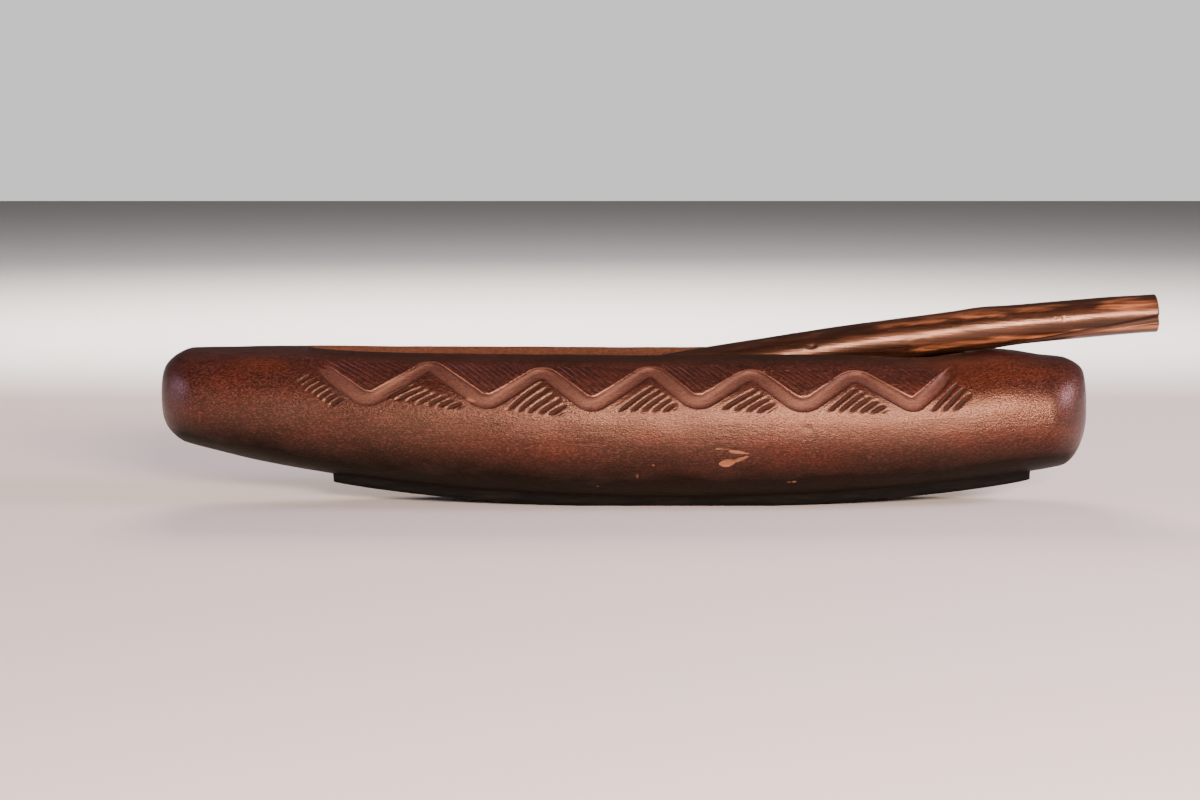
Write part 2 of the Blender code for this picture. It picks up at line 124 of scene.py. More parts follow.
# Fine hatching over each dip of the band, given the same way
HATCHING = (
    ((-0.2683, 0.48), (-0.3161, 0.83), (-0.2212, 0.79), (-0.2372, 0.85), 10),
    ((-0.1482, 0.47), (-0.1860, 0.82), (-0.1020, 0.70), (-0.1196, 0.83), 10),
    ((-0.0365, 0.48), (-0.0701, 0.79), (0.0122, 0.72), (-0.0021, 0.81), 10),
    ((0.0735, 0.52), (0.0424, 0.81), (0.1121, 0.70), (0.0978, 0.81), 9),
    ((0.1835, 0.50), (0.1499, 0.75), (0.2204, 0.66), (0.2036, 0.78), 8),
    ((0.3060, 0.52), (0.2733, 0.80), (0.3338, 0.70), (0.3186, 0.82), 7),
)
HATCH_WIDTH = 0.0013
HATCH_CUT = 0.00045
HATCH_WANDER = 0.16
HATCH_SIDES_FADE = (-0.0006, 0.0006)
HATCH_ENDS_FADE = (0.0012, 0.0)

# No stroke or hatching is nearer to the crown than this, measured down the side
CARVING_FROM = 0.018

# Painted shade below the slot's edge: how far it reaches, where it is full, and how much lies past the slot's
# ends
SHADE_BELOW_RIM_REACH = 0.019
SHADE_BELOW_RIM_FULL = 0.002
SHADE_BELOW_RIM_PAST_LEFT = 0.8
SHADE_BELOW_RIM_PAST_RIGHT = 0.35

# What hand work leaves: slow and fine unevenness, and how much carving is left at the very ends
UNEVEN_SLOW = 0.00022
UNEVEN_FINE = 0.00010
END_CALM = 0.004
END_CARVING = 0.25

# A slot narrower than this is closed, and points nearer than the weld are one
CLOSED_SLOT = 0.0002
WELD = 0.0000012

# Rows of points along X: their spacing, where the close ones lie, how they crowd towards the drum's ends and
# the slot's ends, and how near two may come
ROW_STEP = 0.0022
CLOSE_ROW_STEP = 0.00088
CLOSE_FROM = -0.206
CLOSE_TO = 0.218
END_RUN = 0.020
END_ROWS = 15
SLOT_END_ROWS = (0.0, 0.0001, 0.0004, 0.0009, 0.0016, 0.0025, 0.0036)
PAST_SLOT = 0.0008
PAST_FOOT = 0.0002
ROWS_APART = 0.0003

# Guides for the columns: the belly's rise, where the band's guides come to rest past its ends, how far that
# takes, and the least room between guides
BELLY_RISE = 0.10
UPPER_AT_REST = 0.55
LOWER_AT_REST = 0.72
GUIDE_RUN_OUT = 0.05
GUIDE_ROOM = 0.0015
BELLY_ROOM = 0.001
FOOT_AT_REST = 0.86
FOOT_RUN_OUT = 0.03
FOOT_ROOM = 0.002
KEEL_ROOM = 0.004
KEEL_SHARE = 0.12


def line_at(table, share):
    """Heights at shares of the length, on a smooth curve through the table's points."""
    places, heights = np.array(table).T
    slopes = np.gradient(heights, places)
    leg = np.clip(np.searchsorted(places, share) - 1, 0, len(places) - 2)
    span = places[leg + 1] - places[leg]
    t = (share - places[leg]) / span
    start = heights[leg] * (1 + 2 * t) * (1 - t) ** 2 + slopes[leg] * span * t * (1 - t) ** 2
    end = heights[leg + 1] * t * t * (3 - 2 * t) - slopes[leg + 1] * span * t * t * (1 - t)
    return DRUM_HEIGHT * (start + end)


def drawn_in(gap, rounding):
    """How far the outline is drawn in at a distance from the drum's end: its reach, depth and power."""
    reach, depth, power = rounding
    near = np.clip(1 - gap / (reach * DRUM_HEIGHT), 0.0, 1.0)
    return depth * DRUM_HEIGHT * (1 - (1 - near ** power) ** (1 / power))


def section(x):
    """Half-width, height of the widest line, and the crown's and keel's distances from it."""
    share = x / DRUM_LENGTH
    crown = line_at(CROWN_LINE, share)
    keel = line_at(KEEL_LINE, share)
    middle = (crown + keel) / 2
    taper = np.where(share < WIDEST_AT, TAPER_LEFT, TAPER_RIGHT)
    half = DRUM_WIDTH / 2 * (1 - taper * np.abs(2 * (share - WIDEST_AT)) ** TAPER_POWER)
    left = DRUM_LENGTH / 2 + x
    right = DRUM_LENGTH / 2 - x
    half = half - drawn_in(left, LEFT_SIDE) - drawn_in(right, RIGHT_SIDE)
    up = crown - middle - drawn_in(left, LEFT_TOP) - drawn_in(right, RIGHT_TOP)
    down = middle - keel - drawn_in(left, LEFT_BOTTOM) - drawn_in(right, RIGHT_BOTTOM)
    return half, middle, up, down


def smooth(low, high, value):
    t = np.clip((value - low) / (high - low), 0.0, 1.0)
    return t * t * (3 - 2 * t)


GIRTH_SAMPLES = 241


def girth(x):
    """The outside from crown to keel at each x: widths, heights and the way along it, sampled finely."""
    half, middle, up, down = (np.asarray(value)[:, None] for value in section(x))
    angle = np.linspace(0.0, math.pi, GIRTH_SAMPLES)[None, :]
    upward = np.cos(angle)
    power = np.where(upward > 0, TOP_POWER, BOTTOM_POWER)
    width = half * np.abs(np.sin(angle)) ** (2 / power)
    reach = np.where(upward > 0, up, down)
    height = middle + reach * np.sign(upward) * np.abs(upward) ** (2 / power)
    steps = np.hypot(np.diff(width, axis=1), np.diff(height, axis=1))
    way = np.concatenate([np.zeros((len(width), 1)), np.cumsum(steps, axis=1)], axis=1)
    return width, height, way


def rows_read(table, at, wanted):
    """Each row of the table read at that row's wanted places, both ways given per row."""
    return np.array([np.interp(want, place, value) for value, place, want in zip(table, at, wanted)])


def way_of_rise(x, rise):
    """Way down from the crown to a rise given as a share of the upper half's height."""
    x, rise = np.atleast_1d(x), np.atleast_1d(rise)
    _, height, way = girth(x)
    _, middle, up, _ = section(x)
    level = middle + up * rise
    return np.array([np.interp(-z, -high, run) for z, high, run in zip(level, height, way)])


def rounded_path(turns, steps=24):
    """Points along a zigzag whose turns are rounded by their own radius, laid out flat."""
    span = BAND_RISE_SPAN * DRUM_HEIGHT
    corners = [Vector((share * DRUM_LENGTH, rise * span)) for share, rise, _ in turns]
    path = [corners[0]]
    for index in range(1, len(corners) - 1):
        back = (corners[index - 1] - corners[index]).normalized()
        on = (corners[index + 1] - corners[index]).normalized()
        half_angle = back.angle(on) / 2
        radius = turns[index][2] * DRUM_HEIGHT
        run = radius / math.tan(half_angle)
        centre = corners[index] + (back + on).normalized() * radius / math.sin(half_angle)
        first = corners[index] + back * run - centre
        sweep = first.angle_signed(corners[index] + on * run - centre)
        for step in range(steps + 1):
            angle = -sweep * step / steps
            path.append(centre + Vector((
                first.x * math.cos(angle) - first.y * math.sin(angle),
                first.x * math.sin(angle) + first.y * math.cos(angle),
            )))
    path.append(corners[-1])
    xs = np.array([point.x for point in path])
    rises = np.array([point.y for point in path]) / span
    fine = np.linspace(xs[0], xs[-1], PATH_SAMPLES)
    return fine, way_of_rise(fine, np.interp(fine, xs, rises))


def drum_rows():
    """Places along X: closest over the ends, the slot's ends and the foot's ends."""
    end = DRUM_LENGTH / 2
    spread = 1 - np.cos(np.linspace(0, math.pi / 2, END_ROWS))
    rows = [-end + END_RUN * spread, end - END_RUN * spread]
    rows.append(np.arange(-end + END_RUN + 0.002, CLOSE_FROM, ROW_STEP))
    rows.append(np.arange(CLOSE_FROM, CLOSE_TO, CLOSE_ROW_STEP))
    rows.append(np.arange(CLOSE_TO + 0.0005, end - END_RUN - 0.0005, ROW_STEP))
    near = np.array(SLOT_END_ROWS)
    slot_low = SLOT_MIDDLE - SLOT_LENGTH / 2
    slot_high = SLOT_MIDDLE + SLOT_LENGTH / 2
    fixed = np.concatenate([slot_low + near, slot_high - near])
    fixed = np.concatenate([fixed, [
        slot_low - PAST_SLOT, slot_high + PAST_SLOT, FOOT_LEFT - PAST_FOOT, FOOT_LEFT,
        FOOT_RIGHT, FOOT_RIGHT + PAST_FOOT, FOOT_RIGHT - FOOT_TOE_SLANT,
    ]])
    loose = np.concatenate(rows)
    kept = loose[np.min(np.abs(loose[:, None] - fixed[None, :]), axis=1) > ROWS_APART]
    return np.unique(np.round(np.concatenate([kept, fixed]), 7))


def spans(counts, guides):
    """Ways for every column, each run between two guides shared out evenly, closed by the last guide."""
    runs = []
    for index, count in enumerate(counts):
        shares = np.arange(count)[None, :] / count
        low, high = guides[index][:, None], guides[index + 1][:, None]
        runs.append(low + (high - low) * shares)
    runs.append(guides[-1][:, None])
    return np.concatenate(runs, axis=1)


def slot_edge(x):
    """Half-width of the slot at x, pointed like a lens with blunt tips."""
    share = np.clip((x - SLOT_MIDDLE) / (SLOT_LENGTH / 2), -1.0, 1.0)
    lens = 1 - SLOT_NARROWING * share * share
    return SLOT_HALF_WIDTH * lens * np.sqrt(1 - np.abs(share) ** SLOT_END_POWER)


def foot_form(x):
    """Half-width of the foot's top edge at x, and the height of its underside."""
    middle = (FOOT_LEFT + FOOT_RIGHT) / 2
    reach = (FOOT_RIGHT - FOOT_LEFT) / 2
    share = np.arcsin(np.clip((x - middle) / reach, -1, 1)) / (math.pi / 2)
    fullness = np.sqrt(1 - np.abs(share) ** FOOT_END_POWER)
    half = FOOT_END_HALF_WIDTH + (FOOT_HALF_WIDTH - FOOT_END_HALF_WIDTH) * fullness
    low = np.maximum(0.0, line_at(KEEL_LINE, x / DRUM_LENGTH) - FOOT_DEPTH)
    return half + FOOT_BATTER, low


def hollow_form():
    """The hollow's half length, half width, half height and the height of its middle."""
    half, middle, up, down = section(np.array(SLOT_MIDDLE))
    top = middle + up - LIP
    floor = middle - down + FLOOR
    return SLOT_LENGTH / 2 + HOLLOW_PAST_SLOT, half - WALL, (top - floor) / 2, (top + floor) / 2


def band_guides(x, path_x, path_way):
    """Upper and lower edge of the band at each x, as ways down from the crown."""
    apart = np.abs(x[:, None] - path_x[None, :])
    lift = np.sqrt(np.clip(BAND_WIDTH ** 2 / 4 - apart ** 2, 0.0, None))
    near = apart < BAND_WIDTH / 2
    upper = np.min(np.where(near, path_way[None, :] - lift, 9.0), axis=1)
    lower = np.max(np.where(near, path_way[None, :] + lift, -9.0), axis=1)
    return upper, lower, near.any(axis=1)


# Columns in each run between two guides, from the slot's edge down to the keel's middle
FRONT_COUNTS = (30, 12, 26, 8, 20, 7, 2, 3)
BACK_COUNTS = (8, 10, 8, 3, 3, 3, 2, 3)
BELLY_SHARES = (0.26, 0.60)
INSIDE_COUNTS = 12
FOOT_SPAN = 6


def side_columns(x, counts, path_x, path_way):
    """The outside's columns from the slot's edge to the keel: their widths, heights, ways and the painted
    shade below the rim.
    """
    width, height, way = girth(x)
    total = way[:, -1]
    edge = slot_edge(x)
    open_slot = edge > 0
    edge_way = np.array([
        np.interp(reach + RIM_ROUND, wide[:GIRTH_SAMPLES // 2], run[:GIRTH_SAMPLES // 2])
        for reach, wide, run in zip(edge, width, way)
    ])
    edge_way = np.where(open_slot, edge_way, 0.0)
    upper, lower, banded = band_guides(x, path_x, path_way)
    base = way_of_rise(x, np.full(len(x), BELLY_RISE))
    first = np.argmax(banded)
    last = len(x) - 1 - np.argmax(banded[::-1])
    upper = np.where(banded, upper, 0.0)
    lower = np.where(banded, lower, 0.0)
    for index in list(range(first)) + list(range(last + 1, len(x))):
        source = first if index < first else last
        away = smooth(0.0, GUIDE_RUN_OUT, abs(x[index] - x[source]))
        for guide, rest in ((upper, UPPER_AT_REST), (lower, LOWER_AT_REST)):
            held = guide[source] / base[source] * base[index]
            guide[index] = held + (rest * base[index] - held) * away
    middle = (upper + lower) / 2
    upper = np.minimum(upper, middle - GUIDE_ROOM)
    lower = np.maximum(lower, middle + GUIDE_ROOM)
    upper = np.maximum(upper, edge_way + GUIDE_ROOM)
    lower = np.minimum(lower, base - BELLY_ROOM)
    foot_half, foot_low = foot_form(x)
    under = slice(GIRTH_SAMPLES // 2, None)
    foot_way = np.array([
        np.interp(-reach, -wide[under], run[under]) for reach, wide, run in zip(foot_half, width, way)
    ])
    footed = (x >= FOOT_LEFT) & (x <= FOOT_RIGHT)
    beyond = np.maximum(np.maximum(FOOT_LEFT - x, x - FOOT_RIGHT), 0.0)
    foot_way = foot_way + (total * FOOT_AT_REST - foot_way) * smooth(0.0, FOOT_RUN_OUT, beyond)
    foot_way = np.clip(foot_way, base + FOOT_ROOM, total - KEEL_ROOM)
    bottom_way = foot_way + (total - foot_way) * KEEL_SHARE
    belly = [base + (foot_way - base) * share for share in BELLY_SHARES]
    ways = spans(counts, (edge_way, upper, lower, base, *belly, foot_way, bottom_way, total))
    wide = rows_read(width, way, ways)
    high = rows_read(height, way, ways)
    start = sum(counts[:FOOT_SPAN])
    side_end = start + counts[FOOT_SPAN]
    for row in np.nonzero(footed)[0]:
        run = np.linspace(0, 1, counts[FOOT_SPAN] + 1)
        sole = foot_half[row] - FOOT_BATTER
        wide[row, start:side_end + 1] = wide[row, start] + (sole - wide[row, start]) * run
        high[row, start:side_end + 1] = high[row, start] + (foot_low[row] - high[row, start]) * run
        wide[row, side_end:] = wide[row, side_end] * (1 - np.linspace(0, 1, counts[-1] + 1))
        high[row, side_end:] = foot_low[row]
    # Painted shade: darker just below the slot's edge, and also along the crown past the slot's ends
    held = np.where(open_slot, 1.0, np.where(x > 0, SHADE_BELOW_RIM_PAST_RIGHT, SHADE_BELOW_RIM_PAST_LEFT))
    grime = smooth(SHADE_BELOW_RIM_REACH, SHADE_BELOW_RIM_FULL, ways - edge_way[:, None]) * held[:, None]
    return wide, high, ways, grime


def inside_columns(x, rim_high):
    """Widths and heights from the rim's rounding down the slot's wall and round the hollow to its floor."""
    length, hollow_wide, hollow_high, hollow_middle = (float(value) for value in hollow_form())
    share = np.clip(np.abs(x - SLOT_MIDDLE) / length, 0.0, 1.0)
    size = (1 - share ** HOLLOW_POWER) ** (1 / HOLLOW_POWER)
    edge = slot_edge(x)
    wide = np.zeros((len(x), INSIDE_COUNTS))
    high = np.zeros((len(x), INSIDE_COUNTS))
    angles = np.linspace(0, math.pi, 90)
    for row in range(len(x)):
        if edge[row] <= 0:
            wide[row] = 0.0
            high[row] = rim_high[row]
            continue
        across, tall = hollow_wide * size[row], hollow_high * size[row]
        ring_wide = across * np.sin(angles) ** (2 / HOLLOW_POWER)
        upward = np.cos(angles)
        ring_high = hollow_middle + tall * np.sign(upward) * np.abs(upward) ** (2 / HOLLOW_POWER)
        past = (angles > math.pi / 2) | (ring_wide > edge[row])
        top = rim_high[row] - RIM_ROUND
        line_wide = np.concatenate([[edge[row]], ring_wide[past]])
        line_high = np.concatenate([[top], ring_high[past]])
        steps = np.hypot(np.diff(line_wide), np.diff(line_high))
        run = np.concatenate([[0], np.cumsum(steps)])
        wanted = np.concatenate([[0, run[1] / 2], np.linspace(run[1], run[-1], INSIDE_COUNTS - 3)])
        wide[row, 1:] = np.interp(wanted, run, line_wide)
        high[row, 1:] = np.interp(wanted, run, line_high)
        wide[row, 0] = edge[row] + RIM_ROUND * 0.3
        high[row, 0] = rim_high[row] - RIM_ROUND * 0.3
    return wide, high


def cross(a, b):
    """Cross product of two flat directions, whose parts may be whole tables."""
    return a[0] * b[1] - a[1] * b[0]


class Lines:
    """A field of hand-cut lines between a first and a last one, read at every point of the carved side."""

    def __init__(self, x, way, field, wander):
        *ends, count = field
        low_first, high_first, low_last, high_last = (
            np.array([share * DRUM_LENGTH, float(way_of_rise(share * DRUM_LENGTH, rise)[0])])
            for share, rise in ends
        )
        run, turn = high_first - low_first, high_last - low_last - high_first + low_first
        shift = low_last - low_first
        off = (x - low_first[0], way - low_first[1])
        a = -cross(turn, shift)
        b = cross(turn, off) - cross(run, shift)
        c = cross(run, off)
        root = np.sqrt(np.clip(b * b - 4 * a * c, 0.0, None))
        self.share = -2 * c / (b + np.where(b < 0, -1, 1) * root + 1e-12)
        line = (run[0] + self.share * turn[0], run[1] + self.share * turn[1])
        length = np.hypot(*line)
        start = (off[0] - self.share * shift[0], off[1] - self.share * shift[1])
        self.along = (start[0] * line[0] + start[1] * line[1]) / length ** 2
        pace = (shift[0] + self.along * turn[0], shift[1] + self.along * turn[1])
        self.spacing = np.maximum(np.abs(cross(pace, line)) / length / (count - 1), 0.0004)
        self.turn = self.share * (count - 1) + wander
        number = np.clip(np.round(self.turn), 0, count - 1)
        self.aside = np.abs(self.turn - number) * self.spacing
        self.over = np.maximum(np.maximum(-self.along, self.along - 1), 0.0) * length
        self.inside = self.spacing * np.minimum(
            self.share * (count - 1) + 0.5, (1 - self.share) * (count - 1) + 0.5
        )
        self.held = (np.abs(self.share - 0.5) < 0.85) & (np.abs(self.along - 0.5) < 0.9)


def noisy(points, scale, seed):
    """Smooth noise from -1 to 1 at every point, scale in turns a metre."""
    flat = points.reshape(-1, 3) * scale + seed
    values = [noise.noise(Vector(point)) for point in flat]
    return np.array(values).reshape(points.shape[:-1])


# Damage read off the front: place along the drum, way down from the crown, half length, half height, lean,
# depth and how much bare wood shows
CHIPS = (
    (0.1142, 0.1014, 0.0121, 0.0012, 0.15, 0.0006, 0.9),
    (0.1090, 0.1098, 0.0056, 0.0034, -0.15, 0.0009, 1.0),
    (0.1215, 0.1072, 0.0075, 0.0013, -0.36, 0.0007, 0.8),
    (-0.1029, 0.1353, 0.0030, 0.0012, 0.0, 0.0004, 0.6),
    (-0.0290, 0.1318, 0.0016, 0.0012, 0.6, 0.0003, 0.5),
    (0.0139, 0.1206, 0.0010, 0.0024, 0.0, 0.0003, 0.4),
    (-0.1625, 0.0680, 0.0036, 0.0013, 0.2, 0.0004, 0.7),
    (0.1818, 0.1266, 0.0018, 0.0014, 0.0, 0.0004, 0.8),
    (0.1742, 0.1276, 0.0032, 0.0009, -0.4, 0.0003, 0.5),
    (0.1860, 0.1278, 0.0012, 0.0009, 0.0, 0.0003, 0.6),
    (0.0306, 0.1114, 0.0014, 0.0009, 0.3, 0.0003, 0.5),
)

# The knot hole: place, way down from the crown, half length, half height and depth
KNOT = (0.1935, 0.0857, 0.0034, 0.0016, 0.0005)

# Stains: place along the drum, way down from the crown, half length, half height and how strong. The red ones
# are stains. The dark ones are partly stains and partly painted shade: the broad low patches, such as those
# at -0.240 and 0.290, stand for where the light falls off.
DARK_STAINS_AND_SHADE = (
    (-0.235, 0.0265, 0.045, 0.0050, 0.8), (-0.060, 0.0275, 0.050, 0.0055, 0.9),
    (0.030, 0.0330, 0.030, 0.0040, 0.6), (-0.300, 0.0600, 0.025, 0.0080, 0.5),
    (0.120, 0.0400, 0.040, 0.0050, 0.4), (-0.240, 0.0950, 0.060, 0.0200, 0.8),
    (0.290, 0.1000, 0.050, 0.0140, 0.9), (0.070, 0.1030, 0.050, 0.0100, 0.7),
    (-0.380, 0.0760, 0.050, 0.0140, 0.7),
)
RED_STAINS = (
    (-0.385, 0.0345, 0.026, 0.0090, 0.7), (-0.073, 0.1030, 0.018, 0.0130, 0.6),
    (0.212, 0.0812, 0.036, 0.0060, 0.8), (0.400, 0.0700, 0.026, 0.0200, 0.5),
    (-0.180, 0.0930, 0.024, 0.0080, 0.4), (0.395, 0.0420, 0.030, 0.0120, 0.9),
)

# The fine crack: places along the drum with their ways down from the crown
CRACK = ((-0.1524, 0.0931), (-0.11, 0.0952), (-0.0676, 0.0963), (-0.03, 0.0958), (0.0164, 0.0972))
CRACK_HALF_WIDTH = 0.00028
CRACK_CUT = 0.0003
CRACK_WANDER = 0.0008

# What the skin carries for its finish, and the values that stand for none of it, where that isn't zero
ATTRIBUTES = (
    "band", "upper", "groove", "hatch", "turns", "half", "chip", "bare", "knot", "crack", "dark", "red",
    "inside", "foot", "under", "grime",
)
PLAIN_VALUES = {"band": 2.0, "chip": 3.0, "crack": 9.0}


def stained(points, x, way, stains):
    """Soft ragged patches, each at its place on the front."""
    amount = np.zeros_like(way)
    ragged = 0.7 * noisy(points * np.array([0.5, 1, 1]), 70.0, 12.0) + 0.35 * noisy(points, 260.0, 2.5)
    for place, level, length, tall, strong in stains:
        near = np.hypot((x - place * DRUM_LENGTH) / length, (way - level) / tall)
        amount = np.maximum(amount, strong * smooth(1.5, 0.3, near + ragged))
    return amount


def carve_band(x, way, every):
    """Distance from the band's middle line, the same in half widths, way in from its ends, and its cut."""
    apart = (x[..., None] - PATH_X[None, None, ::every]) ** 2
    apart = apart + (way[..., None] - PATH_WAY[None, None, ::every]) ** 2
    gap = np.sqrt(apart.min(axis=-1))
    across = np.clip(2 * gap / BAND_WIDTH, 0, 1)
    inset = np.minimum(x - PATH_X[0], PATH_X[-1] - x)
    cut = (1 - across ** BAND_ROUNDNESS) * smooth(*BAND_RUN_OUT, inset + BAND_PAST_END)
    return gap, across, inset, cut


def carve_front(points, x, way):
    """How deep each point of the front is cut, and the values that the wood's finish is coloured by."""
    groove = np.zeros_like(way)
    hatch = np.zeros_like(way)
    turns = np.zeros_like(way)
    half = np.zeros_like(way)
    wander = noisy(points, 55.0, 3.0)
    gap, _, inset, band = carve_band(x, way, 3)
    cut = BAND_CUT * band
    below = way > np.interp(x, PATH_X, PATH_WAY)
    carved = way > CARVING_FROM
    fade = smooth(BAND_FADE, 0.0, inset)
    shore = 2 * gap / BAND_WIDTH + BAND_RAGGED * noisy(points, 700.0, 5.0) + 0.9 * fade
    shore = np.clip(shore, 0, PLAIN_VALUES["band"])
    # The side above the band's middle line, which carries the band's painted highlight
    upper = ~below * smooth(*UPPER_SIDE_FADE, inset)
    for field in STROKES:
        lines = Lines(x, way, field, STROKE_WANDER * wander)
        reached = below & lines.held & carved
        near = np.hypot(lines.aside, lines.over) / (STROKE_WIDTH / 2)
        near = np.where(reached, near, 9.0)
        bulge = np.sin(math.pi * np.clip(lines.along, 0, 1)) ** 0.5
        fullness = STROKE_THINNEST + (1 - STROKE_THINNEST) * bulge
        stroke = np.clip(1 - near ** 2, 0, 1) ** 0.7 * fullness
        cut = np.maximum(cut, STROKE_CUT * stroke)
        mask = smooth(*STROKE_SIDES_FADE, lines.inside) * smooth(*STROKE_ENDS_FADE, lines.over) * reached
        held = mask > groove
        groove = np.where(held, mask, groove)
        turns = np.where(held, lines.turn, turns)
        half = np.where(held, STROKE_WIDTH / 2 / lines.spacing * fullness, half)
    for field in HATCHING:
        lines = Lines(x, way, field, HATCH_WANDER * wander)
        mask = smooth(*HATCH_SIDES_FADE, lines.inside) * smooth(*HATCH_ENDS_FADE, lines.over)
        mask = mask * (1 - smooth(0.9, 1.0, band * 6)) * (~below & lines.held & carved)
        line = np.clip(1 - (lines.aside / (HATCH_WIDTH / 2)) ** 2, 0, 1)
        cut = np.maximum(cut, HATCH_CUT * line * mask)
        held = mask > hatch
        hatch = np.where(held, mask, hatch)
        turns = np.where(held, lines.turn, turns)
        half = np.where(held, HATCH_WIDTH / 2 / lines.spacing, half)
    chip = np.full_like(way, PLAIN_VALUES["chip"])
    bare = np.zeros_like(way)
    ragged = 1 + 0.30 * noisy(points, 210.0, 8.0)
    for place, level, length, tall, lean, depth, light in CHIPS:
        off = x - place * DRUM_LENGTH
        near = ((off / length) ** 2 + np.abs(way - level - lean * off) / tall) * ragged
        cut += depth * smooth(1.0, 0.5, near)
        bare = np.where(near < chip, light, bare)
        chip = np.minimum(near, chip)
    place, level, length, tall, depth = KNOT
    near = np.hypot((x - place * DRUM_LENGTH) / length, (way - level) / tall)
    knot = smooth(1.2, 0.7, near)
    cut += depth * knot
    crack_x = np.array([share * DRUM_LENGTH for share, _ in CRACK])
    level = np.interp(x, crack_x, [level for _, level in CRACK]) + CRACK_WANDER * wander
    off = np.clip((way - level) / CRACK_HALF_WIDTH, -PLAIN_VALUES["crack"], PLAIN_VALUES["crack"])
    crack = np.where((x > crack_x[0]) & (x < crack_x[-1]), off, PLAIN_VALUES["crack"])
    cut += CRACK_CUT * smooth(3.0, 0.5, np.abs(crack))
    return cut, {
        "band": shore, "upper": upper, "groove": groove, "hatch": hatch, "turns": turns, "half": half,
        "chip": chip, "bare": bare, "knot": knot, "crack": crack,
        "dark": stained(points, x, way, DARK_STAINS_AND_SHADE), "red": stained(points, x, way, RED_STAINS),
    }


def carve_back(points, x, way):
    """The plainer back: the band alone."""
    _, across, _, band = carve_band(x, way, 6)
    return BAND_CUT * band, {"band": np.where(across >= 1, PLAIN_VALUES["band"], across)}


def outward(points, middle):
    """The direction out of the wood at every point of one side."""
    along = np.gradient(points, axis=0)
    down = np.gradient(points, axis=1)
    out = np.cross(along, down)
    out /= np.maximum(np.linalg.norm(out, axis=-1, keepdims=True), 1e-12)
    away = points[..., 1] * out[..., 1] + (points[..., 2] - middle[:, None]) * out[..., 2]
    return np.where(away[..., None] < 0, -out, out)


def side(x, counts, sign, carve):
    """One side's outside as points, each carved and slightly uneven as hand work leaves it."""
    wide, high, ways, grime = side_columns(x, counts, PATH_X, PATH_WAY)
    points = np.stack([np.repeat(x[:, None], wide.shape[1], axis=1), sign * wide, high], axis=-1)
    _, middle, _, _ = section(x)
    out = outward(points, middle)
    foot = np.zeros_like(wide)
    footed = (x >= FOOT_LEFT) & (x <= FOOT_RIGHT)
    foot[:, sum(counts[:FOOT_SPAN]):] = footed[:, None]
    cut, values = carve(points, points[..., 0], ways)
    cut = cut * (1 - foot)
    uneven = UNEVEN_SLOW * noisy(points, 34.0, 9.0)
    uneven += UNEVEN_FINE * noisy(points * np.array([0.5, 1, 1]), 130.0, 4.0)
    uneven *= 1 - foot
    face = smooth(0.0, END_CALM, DRUM_LENGTH / 2 - np.abs(x))[:, None]
    points = points - out * ((cut + uneven) * (END_CARVING + (1 - END_CARVING) * face))[..., None]
    points[:, -1, 1] = 0.0
    filled = {name: np.full_like(wide, PLAIN_VALUES.get(name, 0.0)) for name in ATTRIBUTES}
    filled.update(values)
    # How much each point faces down, which the finish turns into painted shade under the belly
    filled.update(foot=foot, under=np.clip(-out[..., 2], 0.0, 1.0), grime=grime)
    return points, filled


def make_drum():
    """The drum's whole skin in rows of points: front, slot wall and hollow, back, and then the end faces."""
    x = drum_rows()
    front, front_values = side(x, FRONT_COUNTS, -1, carve_front)
    back, back_values = side(x, BACK_COUNTS, 1, carve_back)
    closed = slot_edge(x) < CLOSED_SLOT
    front[closed, 0, 1] = 0.0
    back[closed, 0] = front[closed, 0]
    inner_wide, inner_high = inside_columns(x, front[:, 0, 2])
    across = np.repeat(np.where(closed, front[:, 0, 0], x)[:, None], INSIDE_COUNTS, axis=1)
    near = np.stack([across, -inner_wide, inner_high], axis=-1)
    far = np.stack([across, inner_wide, inner_high], axis=-1)[:, ::-1][:, 1:]
    near[:, -1, 1] = 0.0
    points = np.concatenate([front[:, ::-1], near, far, back[:, :-1]], axis=1)
    values = {}
    for name in ATTRIBUTES:
        usual = 1.0 if name == "inside" else PLAIN_VALUES.get(name, 0.0)
        within = np.full((len(x), INSIDE_COUNTS * 2 - 1), usual)
        within[closed] = front_values[name][closed, :1]
        values[name] = np.concatenate(
            [front_values[name][:, ::-1], within, back_values[name][:, :-1]], axis=1
        )
    return end_faces(x, points, values)


FACE_ROWS = 6


def end_faces(x, points, values):
    """Adds the rows of the two end faces, each drawing its outline in to a slightly domed middle."""
    _, middle, _, _ = section(x)
    shares = [math.sin(math.pi / 2 * step / FACE_ROWS) for step in range(FACE_ROWS)]
    stacks = []
    for row, sign in ((0, 1), (-1, -1)):
        rim = points[row].copy()
        rim[:, 0] += sign * END_DOME
        pole = np.array([x[row], 0.0, middle[row]])
        rings = [pole + (rim - pole) * np.array([share ** 2, share, share]) for share in shares]
        points[row] = rim
        stacks.append(np.array(rings))
    whole = np.concatenate([stacks[0], points, stacks[1][::-1]], axis=0)
    ends = {}
    for name, value in values.items():
        left = np.repeat(value[:1], FACE_ROWS, axis=0)
        right = np.repeat(value[-1:], FACE_ROWS, axis=0)
        ends[name] = np.concatenate([left, value, right], axis=0)
    return whole, ends


